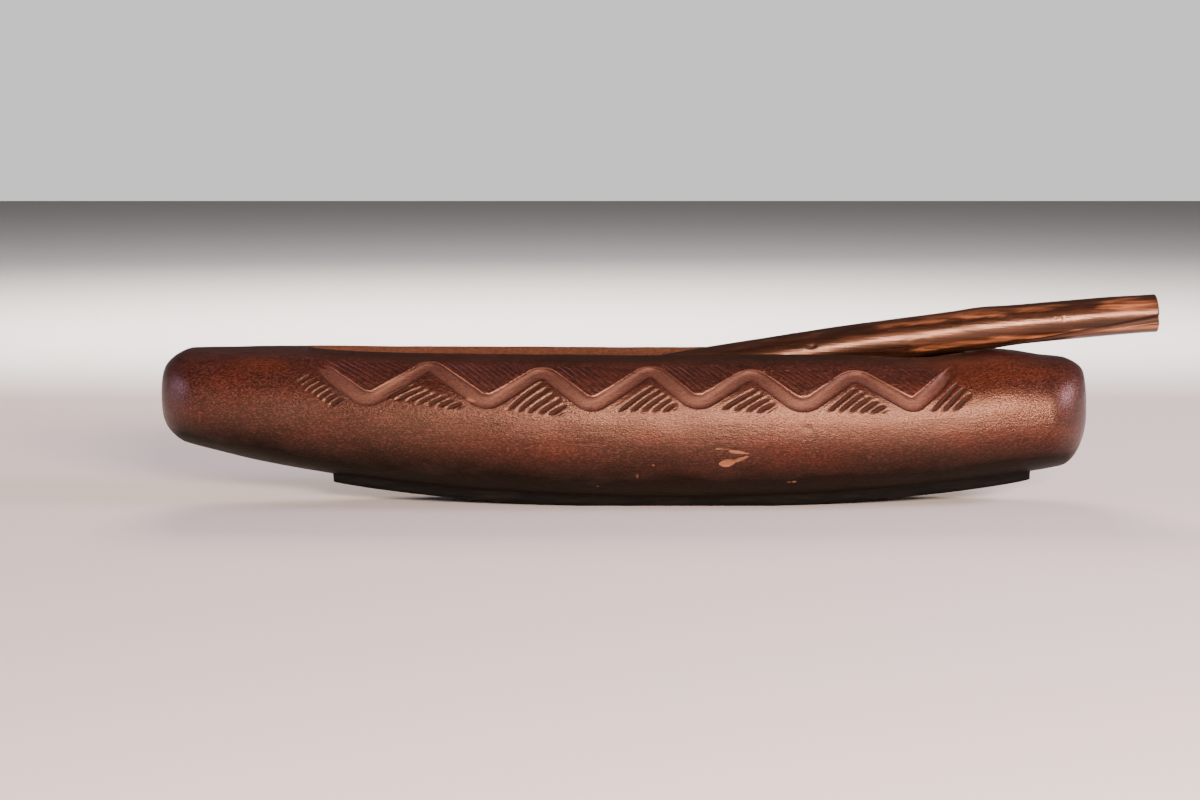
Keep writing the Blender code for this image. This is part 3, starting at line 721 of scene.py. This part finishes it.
def ring_mesh(name, points, values):
    """A closed skin from rows of points: a grid placed by the table, rolled round and welded."""
    rows, columns = points.shape[:2]
    grid = bmesh.new()
    layers = {key: grid.verts.layers.float.new(key) for key in values}
    bmesh.ops.create_grid(grid, x_segments=columns, y_segments=rows - 1, size=0.5)
    for vertex in grid.verts:
        column = round((vertex.co.x + 0.5) * columns) % columns
        row = round((vertex.co.y + 0.5) * (rows - 1))
        vertex.co = points[row, column]
        for key, layer in layers.items():
            vertex[layer] = values[key][row, column]
    bmesh.ops.remove_doubles(grid, verts=grid.verts, dist=WELD)
    bmesh.ops.recalc_face_normals(grid, faces=grid.faces)
    for face in grid.faces:
        face.smooth = True
    mesh = bpy.data.meshes.new(name)
    grid.to_mesh(mesh)
    grid.free()
    made = bpy.data.objects.new(name, mesh)
    bpy.context.scene.collection.objects.link(made)
    return made


def give_second_finish(piece, name):
    """Faces whose corners all carry the named attribute take the piece's second material."""
    marked = piece.data.attributes[name].data
    for face in piece.data.polygons:
        if min(marked[corner].value for corner in face.vertices) > 0.5:
            face.material_index = 1


# The beater, as in the CAD
BEATER_LENGTH = 0.466
BEATER_OVERHANG = 0.0477
BEATER_HEAD_RADIUS = 0.0155
BEATER_HANDLE_RADIUS = 0.0123
BEATER_TIP = 0.013
BEATER_TIP_WORN = 0.88
BEATER_BOW = 0.0084
BEATER_BOW_SKEW = 0.5
BEATER_YAW = math.radians(1.0)
BEATER_CROSSES_AT = 0.243
BEATER_SLOPE = 0.151918
BEATER_LIFT = 0.122911
KNOT_AT = 0.760
KNOT_SPREAD = 0.030
KNOT_SWELL = 0.0009
END_ROUND = 0.0008
FLUTE_START = 0.60
FLUTE_TURN_START = math.radians(-88)
FLUTE_TURN_END = math.radians(-12)
FLUTE_TURN_POWER = 1.5
FLUTE_RADIUS = 0.0030
FLUTE_DEPTH = 0.0022
FLUTE_THIN = 0.25

# The stick's skin: how fine its mesh is, the rings that close its ends, and the depth of its relief
BEATER_ROWS = 420
BEATER_COLUMNS = 84
TIP_ROWS = 12
TIP_CROWDING = 1.6
FLUTE_CROWDING = 0.55
FLUTE_FADE = (-0.004, 0.012)
HEAD_RINGS = (0.0, 0.5, 0.85)
TAIL_RINGS = (0.9, 0.7, 0.5, 0.3, 0.15, 0.0)
ROUNDED_EDGE = (0.25, 0.5, 0.75, 1.0)
STICK_RIDGES = 0.00005
STICK_LUMPS = 0.00025
STICK_FIBRES = 0.00004

# Nicks in the stick: share of its length, degrees round from the front, half length, half height, depth and
# darkness
NICKS = (
    (0.868, 9, 0.0008, 0.0026, 0.0003, 0.3),
    (0.856, 14, 0.0007, 0.0020, 0.0003, 0.3),
    (0.520, 20, 0.0040, 0.0012, 0.0005, 0.8),
    (0.350, 30, 0.0045, 0.0014, 0.0006, 0.8),
    (0.655, -30, 0.0060, 0.0010, 0.0005, 0.7),
    (0.930, -40, 0.0050, 0.0010, 0.0004, 0.6),
)

# The small knot on the front: share of the length, degrees round, half length and height, and its raised ring
STICK_KNOT = (0.668, -12, 0.011, 0.0035)
STICK_KNOT_RING = 0.0002

# Lighter patches where the skin has worn, the one at 0.930 and -39 degrees being a painted highlight on the
# flute's lower wall, and dark patches that are partly dark streaks and partly painted shade above the flute
# and along the top, given the same way, with a strength
WORN_AND_LIT = (
    (0.665, 50, 0.026, 0.0026, 0.8), (0.751, 52, 0.020, 0.0034, 0.9), (0.825, 56, 0.024, 0.0026, 0.8),
    (0.960, 40, 0.018, 0.0050, 0.9), (0.735, -34, 0.034, 0.0022, 0.8), (0.930, -39, 0.052, 0.0020, 1.0),
)
DARK_PATCHES_AND_SHADE = (
    (0.900, -12, 0.060, 0.0042, 0.95), (0.700, -16, 0.050, 0.0034, 0.7), (0.600, -20, 0.040, 0.0040, 0.8),
    (0.500, 42, 0.055, 0.0060, 0.9), (0.860, 42, 0.020, 0.0030, 0.7),
)


def stick_middle(share):
    """Points on the bowed middle line at shares of the length, from the striking end."""
    back = (1 - share) * BEATER_LENGTH
    bow = 4 * BEATER_BOW * share * (1 - share) * (1 + BEATER_BOW_SKEW * (share - 0.5))
    run = back * math.cos(BEATER_SLOPE) + bow * math.sin(BEATER_SLOPE)
    x = DRUM_LENGTH / 2 + BEATER_OVERHANG - run
    z = BEATER_LIFT - back * math.sin(BEATER_SLOPE) + bow * math.cos(BEATER_SLOPE)
    return np.stack([x, (BEATER_CROSSES_AT - x) * math.sin(BEATER_YAW), z], axis=-1)


def stick_radius(share):
    """The stick's radius, thinning to its handle, with the knot's swelling and the worn round tip."""
    radius = BEATER_HEAD_RADIUS + (BEATER_HANDLE_RADIUS - BEATER_HEAD_RADIUS) * share
    radius = radius + KNOT_SWELL * np.exp(-((share - KNOT_AT) / KNOT_SPREAD) ** 2)
    near = np.clip(1 - share * BEATER_LENGTH / BEATER_TIP, 0.0, 1.0)
    return radius * np.sqrt(1 - BEATER_TIP_WORN * near * near)


def spot_distance(shares, angle, radius, at, toward, length, tall):
    """Distance from a spot on the stick's skin, which is 1 at the edge of the spot's oval."""
    turned = (angle - math.radians(toward) + math.pi) % (2 * math.pi) - math.pi
    return np.hypot((shares[:, None] - at) * BEATER_LENGTH / length, turned * radius[:, None] / tall)


def make_stick():
    """The stick's whole skin in rows of points from its striking end to its cut end."""
    tip = BEATER_TIP / BEATER_LENGTH
    end = END_ROUND / BEATER_LENGTH
    rounds = np.array(ROUNDED_EDGE)
    shares = np.concatenate([
        tip * np.linspace(0, 1, TIP_ROWS)[:-1] ** TIP_CROWDING,
        np.linspace(tip, 1 - end, BEATER_ROWS),
        1 - end * (1 - rounds),
    ])
    radius = stick_radius(shares)
    radius[-len(rounds):] -= END_ROUND * (1 - np.sqrt(1 - rounds ** 2 * 0.9999))
    part = np.clip((shares - FLUTE_START) / (1 - FLUTE_START), 0.0, 1.0)
    opened = smooth(FLUTE_START + FLUTE_FADE[0], FLUTE_START + FLUTE_FADE[1], shares)
    size = (FLUTE_THIN + (1 - FLUTE_THIN) * part) * opened
    around = FLUTE_TURN_START + (FLUTE_TURN_END - FLUTE_TURN_START) * part ** FLUTE_TURN_POWER
    turn = 2 * math.pi * np.arange(BEATER_COLUMNS) / BEATER_COLUMNS
    offset = turn - FLUTE_CROWDING * np.sin(turn)
    offset = np.where(offset > math.pi, offset - 2 * math.pi, offset)
    angle = around[:, None] + offset[None, :]
    middle = stick_middle(shares)
    on = np.gradient(middle, axis=0)
    on /= np.linalg.norm(on, axis=1, keepdims=True)
    front = np.cross(on, np.array([0, 0, 1.0]))
    front /= np.linalg.norm(front, axis=1, keepdims=True)
    up = np.cross(front, on)
    out = front[:, None, :] * np.cos(angle)[..., None] + up[:, None, :] * np.sin(angle)[..., None]
    aside = np.abs(offset)[None, :] * radius[:, None]
    wide = np.maximum(size, 0.05)[:, None] * FLUTE_RADIUS
    flute = np.clip(1 - (aside / wide) ** 2, 0.0, 1.0) * (size[:, None] > 0)
    place = middle[:, None, :] + out * radius[:, None, None]
    ridges = noisy(place * np.array([0.10, 1, 1]), 420.0, 6.0)
    lumps = noisy(place * np.array([0.5, 1, 1]), 60.0, 2.0)
    fibres = np.clip(noisy(place * np.array([0.06, 1, 1]), 900.0, 11.0), 0, 1)
    calm = smooth(1.0, 0.99, shares)[:, None] * smooth(0.0, 0.02, shares)[:, None]
    relief = (STICK_RIDGES * ridges + STICK_LUMPS * lumps + STICK_FIBRES * fibres) * calm
    depth = FLUTE_DEPTH * size[:, None] * flute + relief
    nick = np.zeros_like(depth)
    for *oval, deep, dark in NICKS:
        spot = smooth(1.0, 0.5, spot_distance(shares, angle, radius, *oval) * (1 + 0.3 * ridges))
        depth += deep * spot
        nick = np.maximum(nick, spot * dark)
    near = spot_distance(shares, angle, radius, *STICK_KNOT)
    knot = smooth(1.0, 0.6, near)
    depth -= STICK_KNOT_RING * smooth(1.0, 0.7, near) * smooth(0.3, 0.7, near)
    points = middle[:, None, :] + out * (radius[:, None] - depth)[..., None]
    worn, dark_patch_and_shade = np.zeros_like(depth), np.zeros_like(depth)
    for patches, mark in ((WORN_AND_LIT, worn), (DARK_PATCHES_AND_SHADE, dark_patch_and_shade)):
        for *oval, strong in patches:
            near = spot_distance(shares, angle, radius, *oval)
            np.maximum(mark, strong * smooth(1.3, 0.5, near + 0.8 * ridges + 0.3 * lumps), out=mark)
    head = [middle[0] + (points[0] - middle[0]) * step for step in HEAD_RINGS]
    tail = [middle[-1] + (points[-1] - middle[-1]) * step for step in TAIL_RINGS]
    # The top value, how much the skin faces up, is darkened by the finish as painted shade
    values = {
        "flute": flute * np.minimum(size, 1)[:, None], "nick": nick, "knot": knot, "worn": worn,
        "dark_patch_and_shade": dark_patch_and_shade, "top": np.clip(out[..., 2], 0.0, 1.0), "cut_end": np.zeros_like(depth),
    }
    marks = {}
    for key, value in values.items():
        before_head = np.zeros((len(HEAD_RINGS), BEATER_COLUMNS))
        past_tail = np.full((len(TAIL_RINGS), BEATER_COLUMNS), 1.0 if key == "cut_end" else 0.0)
        marks[key] = np.concatenate([before_head, value, past_tail], axis=0)
    return np.concatenate([np.array(head), points, np.array(tail)], axis=0), marks


def colour(code):
    """A hex sRGB colour as the linear one that the nodes take."""
    parts = [int(code[index:index + 2], 16) / 255 for index in (1, 3, 5)]
    return (*(part / 12.92 if part <= 0.04045 else ((part + 0.055) / 1.055) ** 2.4 for part in parts), 1.0)


class Finish:
    """One material, built up from its nodes, with the piece's own attributes at hand in read."""

    def __init__(self, name, attributes=()):
        self.material = bpy.data.materials.new(name)
        self.material.use_nodes = True
        self.tree = self.material.node_tree
        self.place = self.node("TexCoord", out="Object")
        self.read = {key: self.node("Attribute", out="Fac", attribute_name=key) for key in attributes}

    def node(self, kind, inputs=(), out=0, **settings):
        """Adds a node with its settings, feeds its inputs by place or name and gives the asked output."""
        made = self.tree.nodes.new("ShaderNode" + kind)
        for key, value in settings.items():
            setattr(made, key, value)
        self.feed(made, inputs if isinstance(inputs, dict) else dict(enumerate(inputs)))
        return made.outputs[out]

    def feed(self, node, inputs):
        for key, value in inputs.items():
            if isinstance(value, bpy.types.NodeSocket):
                self.tree.links.new(value, node.inputs[key])
            else:
                node.inputs[key].default_value = value

    def pattern(self, scale, stretch, detail, rough, twist=0.0):
        """A pattern of so many features to the metre, drawn out along X by a small first stretch."""
        place = self.node("Mapping", {0: self.place, 3: tuple(scale * share for share in stretch)})
        return self.node("TexNoise", {
            "Vector": place, "Scale": 1.0, "Detail": detail, "Roughness": rough, "Distortion": twist,
        }, out="Fac")

    def mask(self, *parts):
        """Several parts multiplied, each a socket, a number, or a socket with the range it is read over."""
        whole = None
        for part in parts:
            if isinstance(part, tuple):
                part = self.node("MapRange", part)
            whole = part if whole is None else self.node("Math", (whole, part), operation="MULTIPLY")
        return whole

    def coat(self, under, over, *parts):
        """Lays one colour over another, as thick as its mask says."""
        return self.node("Mix", {0: self.mask(*parts), 6: under, 7: over}, out=2, data_type="RGBA")

    def done(self, inputs):
        self.feed(self.tree.nodes["Principled BSDF"], inputs)
        return self.material


# The tint of the shine on handled wood
WARM_SHINE = "#ffc9ae"


def carved_wood():
    """Old reddish-brown hardwood, rubbed to a dull shine outside, dark in its cuts, with painted shade under
    the belly, below the rim and along the carving's edges, and painted highlights on the carving's rims.
    """
    f = Finish("rubbed reddish brown hardwood", [name for name in ATTRIBUTES if name != "foot"])
    read = f.read
    grain = f.pattern(420.0, (0.14, 1, 1), 5.0, 0.65, 0.3)
    streak = f.pattern(90.0, (0.12, 1, 1), 3.0, 0.5, 0.6)
    cloud = f.pattern(15.0, (0.6, 1, 1), 3.0, 0.5)
    blotch = f.pattern(40.0, (0.5, 1, 1), 4.0, 0.6)
    pores = f.pattern(1200.0, (0.45, 1, 1), 3.0, 0.6)

    # Where a point lies across its nearest stroke or hatching line, from -1 to 1 between the line's edges
    turned = f.node("Math", (read["turns"], 0.5), operation="ADD")
    part = f.node("Math", (turned,), operation="FRACT")
    offset = f.node("Math", (part, 0.5), operation="SUBTRACT")
    half = f.node("Math", (read["half"], 0.05), operation="MAXIMUM")
    across = f.node("Math", (offset, half), operation="DIVIDE")
    near = f.node("Math", (across,), operation="ABSOLUTE")

    # The parts of the carving and wear, and of the painted shade and highlights, each as a mask
    band = read["band"]
    floor = f.mask((band, 1.0, 0.8))
    broken = f.mask((blotch, 0.4, 0.6, 0.15, 0.6))
    # Painted shadow: a dark line just inside both edges of the band's cut
    edge = f.mask((band, 0.70, 0.88), (band, 1.04, 0.96))
    # Painted highlight: a light line just above the band's upper edge
    painted_band_highlight = f.mask((band, 1.22, 1.12), (band, 1.0, 1.06), read["upper"])
    line = f.mask((near, 1.0, 0.35), read["hatch"])
    groove = f.mask((near, 1.0, 0.7), read["groove"])
    # Painted shadow on each stroke's upper-left wall, and a painted highlight just outside that edge
    painted_stroke_shadow = f.mask((across, -1.25, -0.95), (across, -0.2, -0.6), read["groove"])
    painted_stroke_highlight = f.mask((across, -1.9, -1.6), (across, -1.2, -1.4), read["groove"])
    # Painted shade below the slot's edge, broken up by a cloud
    grime = f.mask(read["grime"], (cloud, 0.35, 0.6, 0.95, 0.45))
    # Painted shade under the belly: darker where the surface faces down, its edge broken by blotches
    shade = f.mask(f.node("Math", (blotch, 0.5), operation="SUBTRACT"), 0.5)
    belly = f.mask((f.node("Math", (read["under"], shade), operation="ADD"), 0.19, 0.72))
    chip = f.mask((read["chip"], 1.0, 0.85), read["bare"])
    crack = f.node("Math", (read["crack"],), operation="ABSOLUTE")
    split = f.mask((crack, 1.6, 0.6), (streak, 0.35, 0.55))
    inside = read["inside"]

    # Its colours, from the bare wood outwards
    wood = colour("#23100c")
    for code, *parts in (
        ("#381b16", (grain, 0.38, 0.64)),
        ("#47261d", (streak, 0.45, 0.75, 0.0, 0.35)),
        ("#4e1c12", (cloud, 0.55, 0.66, 0.0, 0.45)),
        ("#1c100a", (blotch, 0.32, 0.48, 0.5, 0.0)),
        ("#54260f", read["red"], (streak, 0.3, 0.7, 0.3, 0.7)),
        # dark stains, partly painted shade
        ("#140b07", read["dark"], 0.8),
        ("#130a07", (pores, 0.52, 0.62, 0.0, 0.75)),
        ("#603a30", (pores, 0.47, 0.37, 0.0, 0.45)),
        ("#4d332b", floor, (pores, 0.4, 0.6, 0.7, 0.4)),
        # painted shadow along the band's edges
        ("#1c100b", edge, broken),
        # painted highlight above the band
        ("#a5705a", painted_band_highlight, broken),
        ("#24140f", line, (pores, 0.4, 0.6, 0.25, 0.55)),
        ("#23150f", groove, 0.75),
        # painted shadow and highlight of the strokes
        ("#0d0705", painted_stroke_shadow, 0.9),
        ("#7a4f3e", painted_stroke_highlight, (pores, 0.4, 0.6, 0.3, 0.0)),
        # painted shade below the rim
        ("#110c06", grime),
        # painted shade under the belly
        ("#0b0a05", belly, 0.93),
        ("#8a5a42", chip, (grain, 0.3, 0.6, 0.5, 0.9)),
        ("#0c0706", read["knot"]),
        ("#0f0805", split, 0.85),
    ):
        wood = f.coat(wood, colour(code), *parts)
    flecked = f.coat(colour("#553626"), colour("#3d2519"), (pores, 0.35, 0.65))
    wood = f.coat(wood, flecked, inside, 0.75)

    # Rougher where it is cut, broken, under the painted shade below the rim and belly, or inside
    rough = f.mask((blotch, 0.3, 0.7, 0.28, 0.35))
    for cause, amount in (
        (groove, 0.35),
        (f.node("Math", (floor, chip), operation="MAXIMUM"), 0.22),
        (f.node("Math", (grime, belly), operation="MAXIMUM"), 0.25),
        (read["dark"], 0.15),
    ):
        rough = f.node("Math", (rough, f.mask(cause, amount)), operation="ADD")
    rough = f.node("Math", (rough, f.mask(inside, 0.75)), operation="MAXIMUM")

    normal = f.node("Bump", {"Height": grain, "Distance": 0.00016, "Strength": 1.0})
    normal = f.node("Bump", {"Height": pores, "Distance": 0.00026, "Strength": 1.0, "Normal": normal})
    proud = f.node("Math", (1.0, line), operation="SUBTRACT")
    normal = f.node("Bump", {"Height": proud, "Distance": 0.0004, "Strength": 1.0, "Normal": normal})
    hollowed = f.mask(f.node("Math", (groove, inside), operation="MAXIMUM"), 0.6)
    dull = f.node("Math", (belly, hollowed), operation="MAXIMUM")
    return f.done({
        "Base Color": wood, "Roughness": rough, "Normal": normal, "Specular Tint": colour(WARM_SHINE),
        "Specular IOR Level": f.mask((dull, 0.0, 1.0, 0.58, 0.10)),
    })


def foot_in_painted_shade():
    """The foot, coloured near black and dull as painted shade under the drum, with a little brown left in its
    grain.
    """
    f = Finish("near black dull foot, painted shade")
    grain = f.pattern(300.0, (0.12, 1, 1), 4.0, 0.6)
    return f.done({
        "Base Color": f.coat(colour("#060605"), colour("#14100c"), (grain, 0.45, 0.7)),
        "Roughness": 0.8,
        "Normal": f.node("Bump", {"Height": grain, "Distance": 0.0003, "Strength": 1.0}),
        "Specular IOR Level": 0.12,
    })


def stick_wood():
    """A natural stick handled dark and glossy, streaked with lighter orange where its skin has worn, with
    painted shade in its flute and along its top and a painted highlight below the flute.
    """
    f = Finish("handled dark streaked stick", ("flute", "nick", "knot", "worn", "dark_patch_and_shade", "top", "cut_end"))
    read = f.read
    grain = f.pattern(330.0, (0.045, 1, 1), 5.0, 0.6, 0.5)
    streak = f.pattern(150.0, (0.05, 1, 1), 3.0, 0.55, 0.8)
    cloud = f.pattern(30.0, (0.4, 1, 1), 3.0, 0.5)
    flecks = f.pattern(1200.0, (0.12, 1, 1), 2.0, 0.5)
    wood = colour("#20120c")
    for code, *parts in (
        ("#3b2317", (grain, 0.36, 0.66)),
        ("#75452c", (streak, 0.58, 0.70, 0.0, 0.6)),
        ("#160d09", (cloud, 0.32, 0.50, 0.7, 0.0)),
        # dark streaks, partly painted shade above the flute and along the top
        ("#150c08", read["dark_patch_and_shade"], (grain, 0.35, 0.6, 0.9, 0.5)),
        # worn wood, and a painted highlight below the flute
        ("#9a6140", read["worn"], (grain, 0.38, 0.55, 0.2, 0.95)),
        ("#1c0f0b", (flecks, 0.60, 0.70, 0.0, 0.6)),
        ("#6f3d22", read["knot"], 0.1),
        # painted shade in the flute
        ("#120a07", (read["flute"], 0.0, 0.35, 0.0, 0.9)),
        # painted shade along the top
        ("#120b07", (read["top"], 0.62, 0.92, 0.0, 0.7)),
        ("#140b08", read["nick"]),
        ("#6d4630", read["cut_end"]),
    ):
        wood = f.coat(wood, colour(code), *parts)
    top, flute = f.mask((read["top"], 0.62, 0.92)), f.mask((read["flute"], 0.0, 0.35))
    dull = f.node("Math", (top, flute), operation="MAXIMUM")
    rough = f.mask((streak, 0.3, 0.7, 0.23, 0.32))
    rough = f.node("Math", (rough, f.mask(dull, 0.35)), operation="ADD")
    rough = f.node("Math", (rough, f.mask(read["cut_end"], 0.7)), operation="MAXIMUM")
    normal = f.node("Bump", {"Height": grain, "Distance": 0.0002, "Strength": 1.0})
    normal = f.node("Bump", {"Height": flecks, "Distance": 0.00006, "Strength": 1.0, "Normal": normal})
    return f.done({
        "Base Color": wood, "Roughness": rough, "Normal": normal, "Specular Tint": colour(WARM_SHINE),
        "Specular IOR Level": 0.6,
    })


def paper_floor():
    """Pale matt paper, wholly plain so that nothing draws the eye from the drum."""
    return Finish("pale paper floor").done({"Base Color": colour("#e9e6e2"), "Roughness": 0.85})


def aimed(thing, target):
    """Turns a lamp or camera to look at a place."""
    thing.rotation_euler = (Vector(target) - thing.location).to_track_quat("-Z", "Y").to_euler()


def area_light(name, location, target, wide, tall, energy, tint, mirrored):
    """A soft lamp. One that isn't mirrored lights matt surfaces alone and shows in no gloss."""
    light = bpy.data.lights.new(name, "AREA")
    light.shape = "RECTANGLE"
    light.size = wide
    light.size_y = tall
    light.energy = energy
    light.color = colour(tint)[:3]
    made = bpy.data.objects.new(name, light)
    made.location = location
    made.visible_glossy = mirrored
    aimed(made, target)
    bpy.context.scene.collection.objects.link(made)


# The camera, set to the photograph's own frame
CAMERA_LENS = 73.68
CAMERA_SENSOR = 36.0
CAMERA_TARGET = (-0.0153, 0.0, 0.066)
CAMERA_DISTANCE = 1.6
CAMERA_TILT = math.radians(6.5)

# The room: its floor, and how its light fades from the horizon upwards
FLOOR_HALF = 6.0
ROOM_COLOUR = "#f4f3f6"
ROOM_FADE = (0.05, 0.14, 1.0, 0.12)

# Lamps: name, place, what it is aimed at, width, height, power, colour and whether it shows in gloss
LAMPS = (
    ("key", (0.50, -2.02, 0.60), (0.03, 0.0, 0.06), 0.85, 0.24, 128.0, "#ffddcb", True),
    ("right", (1.85, -0.45, 0.85), (0.27, 0.0, 0.06), 0.6, 0.4, 36.0, "#f0deff", True),
    ("left", (-1.9, -0.45, 0.50), (-0.27, 0.0, 0.06), 0.7, 0.4, 12.0, "#cfc0ff", True),
    ("back", (-0.25, 1.75, 1.35), (0.0, 0.05, 0.06), 1.0, 0.8, 48.0, "#ffe6d6", False),
    ("floor wash", (0.0, 0.9, 0.9), (0.0, 3.2, 0.1), 2.0, 0.6, 60.0, "#ffffff", True),
)


def make_camera():
    """The camera, square to the front and a little above, as the photograph was taken."""
    lens = bpy.data.cameras.new("camera")
    lens.lens = CAMERA_LENS
    lens.sensor_width = CAMERA_SENSOR
    made = bpy.data.objects.new("camera", lens)
    target = Vector(CAMERA_TARGET)
    back, up = CAMERA_DISTANCE * math.cos(CAMERA_TILT), CAMERA_DISTANCE * math.sin(CAMERA_TILT)
    made.location = target + Vector((0.0, -back, up))
    aimed(made, target)
    bpy.context.scene.collection.objects.link(made)
    bpy.context.scene.camera = made


def make_room():
    """The pale floor, the room's soft light and the lamps."""
    grid = bmesh.new()
    bmesh.ops.create_grid(grid, x_segments=1, y_segments=1, size=FLOOR_HALF)
    mesh = bpy.data.meshes.new("floor")
    grid.to_mesh(mesh)
    grid.free()
    floor = bpy.data.objects.new("floor", mesh)
    bpy.context.scene.collection.objects.link(floor)
    floor.data.materials.append(paper_floor())
    world = bpy.data.worlds.new("room")
    world.use_nodes = True
    tree = world.node_tree
    background = tree.nodes["Background"]
    toward = tree.nodes.new("ShaderNodeTexCoord")
    parts = tree.nodes.new("ShaderNodeSeparateXYZ")
    fade = tree.nodes.new("ShaderNodeMapRange")
    tree.links.new(toward.outputs["Generated"], parts.inputs[0])
    tree.links.new(parts.outputs[2], fade.inputs[0])
    for index, value in enumerate(ROOM_FADE, 1):
        fade.inputs[index].default_value = value
    tree.links.new(fade.outputs[0], background.inputs[1])
    background.inputs[0].default_value = colour(ROOM_COLOUR)
    bpy.context.scene.world = world
    for lamp in LAMPS:
        area_light(*lamp)


PATH_X, PATH_WAY = rounded_path(ZIGZAG)

make_camera()
make_room()

drum = ring_mesh("slit_drum_wood", *make_drum())
drum.data.materials.append(carved_wood())
drum.data.materials.append(foot_in_painted_shade())
give_second_finish(drum, "foot")
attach(drum, "root")
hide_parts("slit_drum")

stick = ring_mesh("beater_stick", *make_stick())
stick.data.materials.append(stick_wood())
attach(stick, "root")
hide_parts("beater")
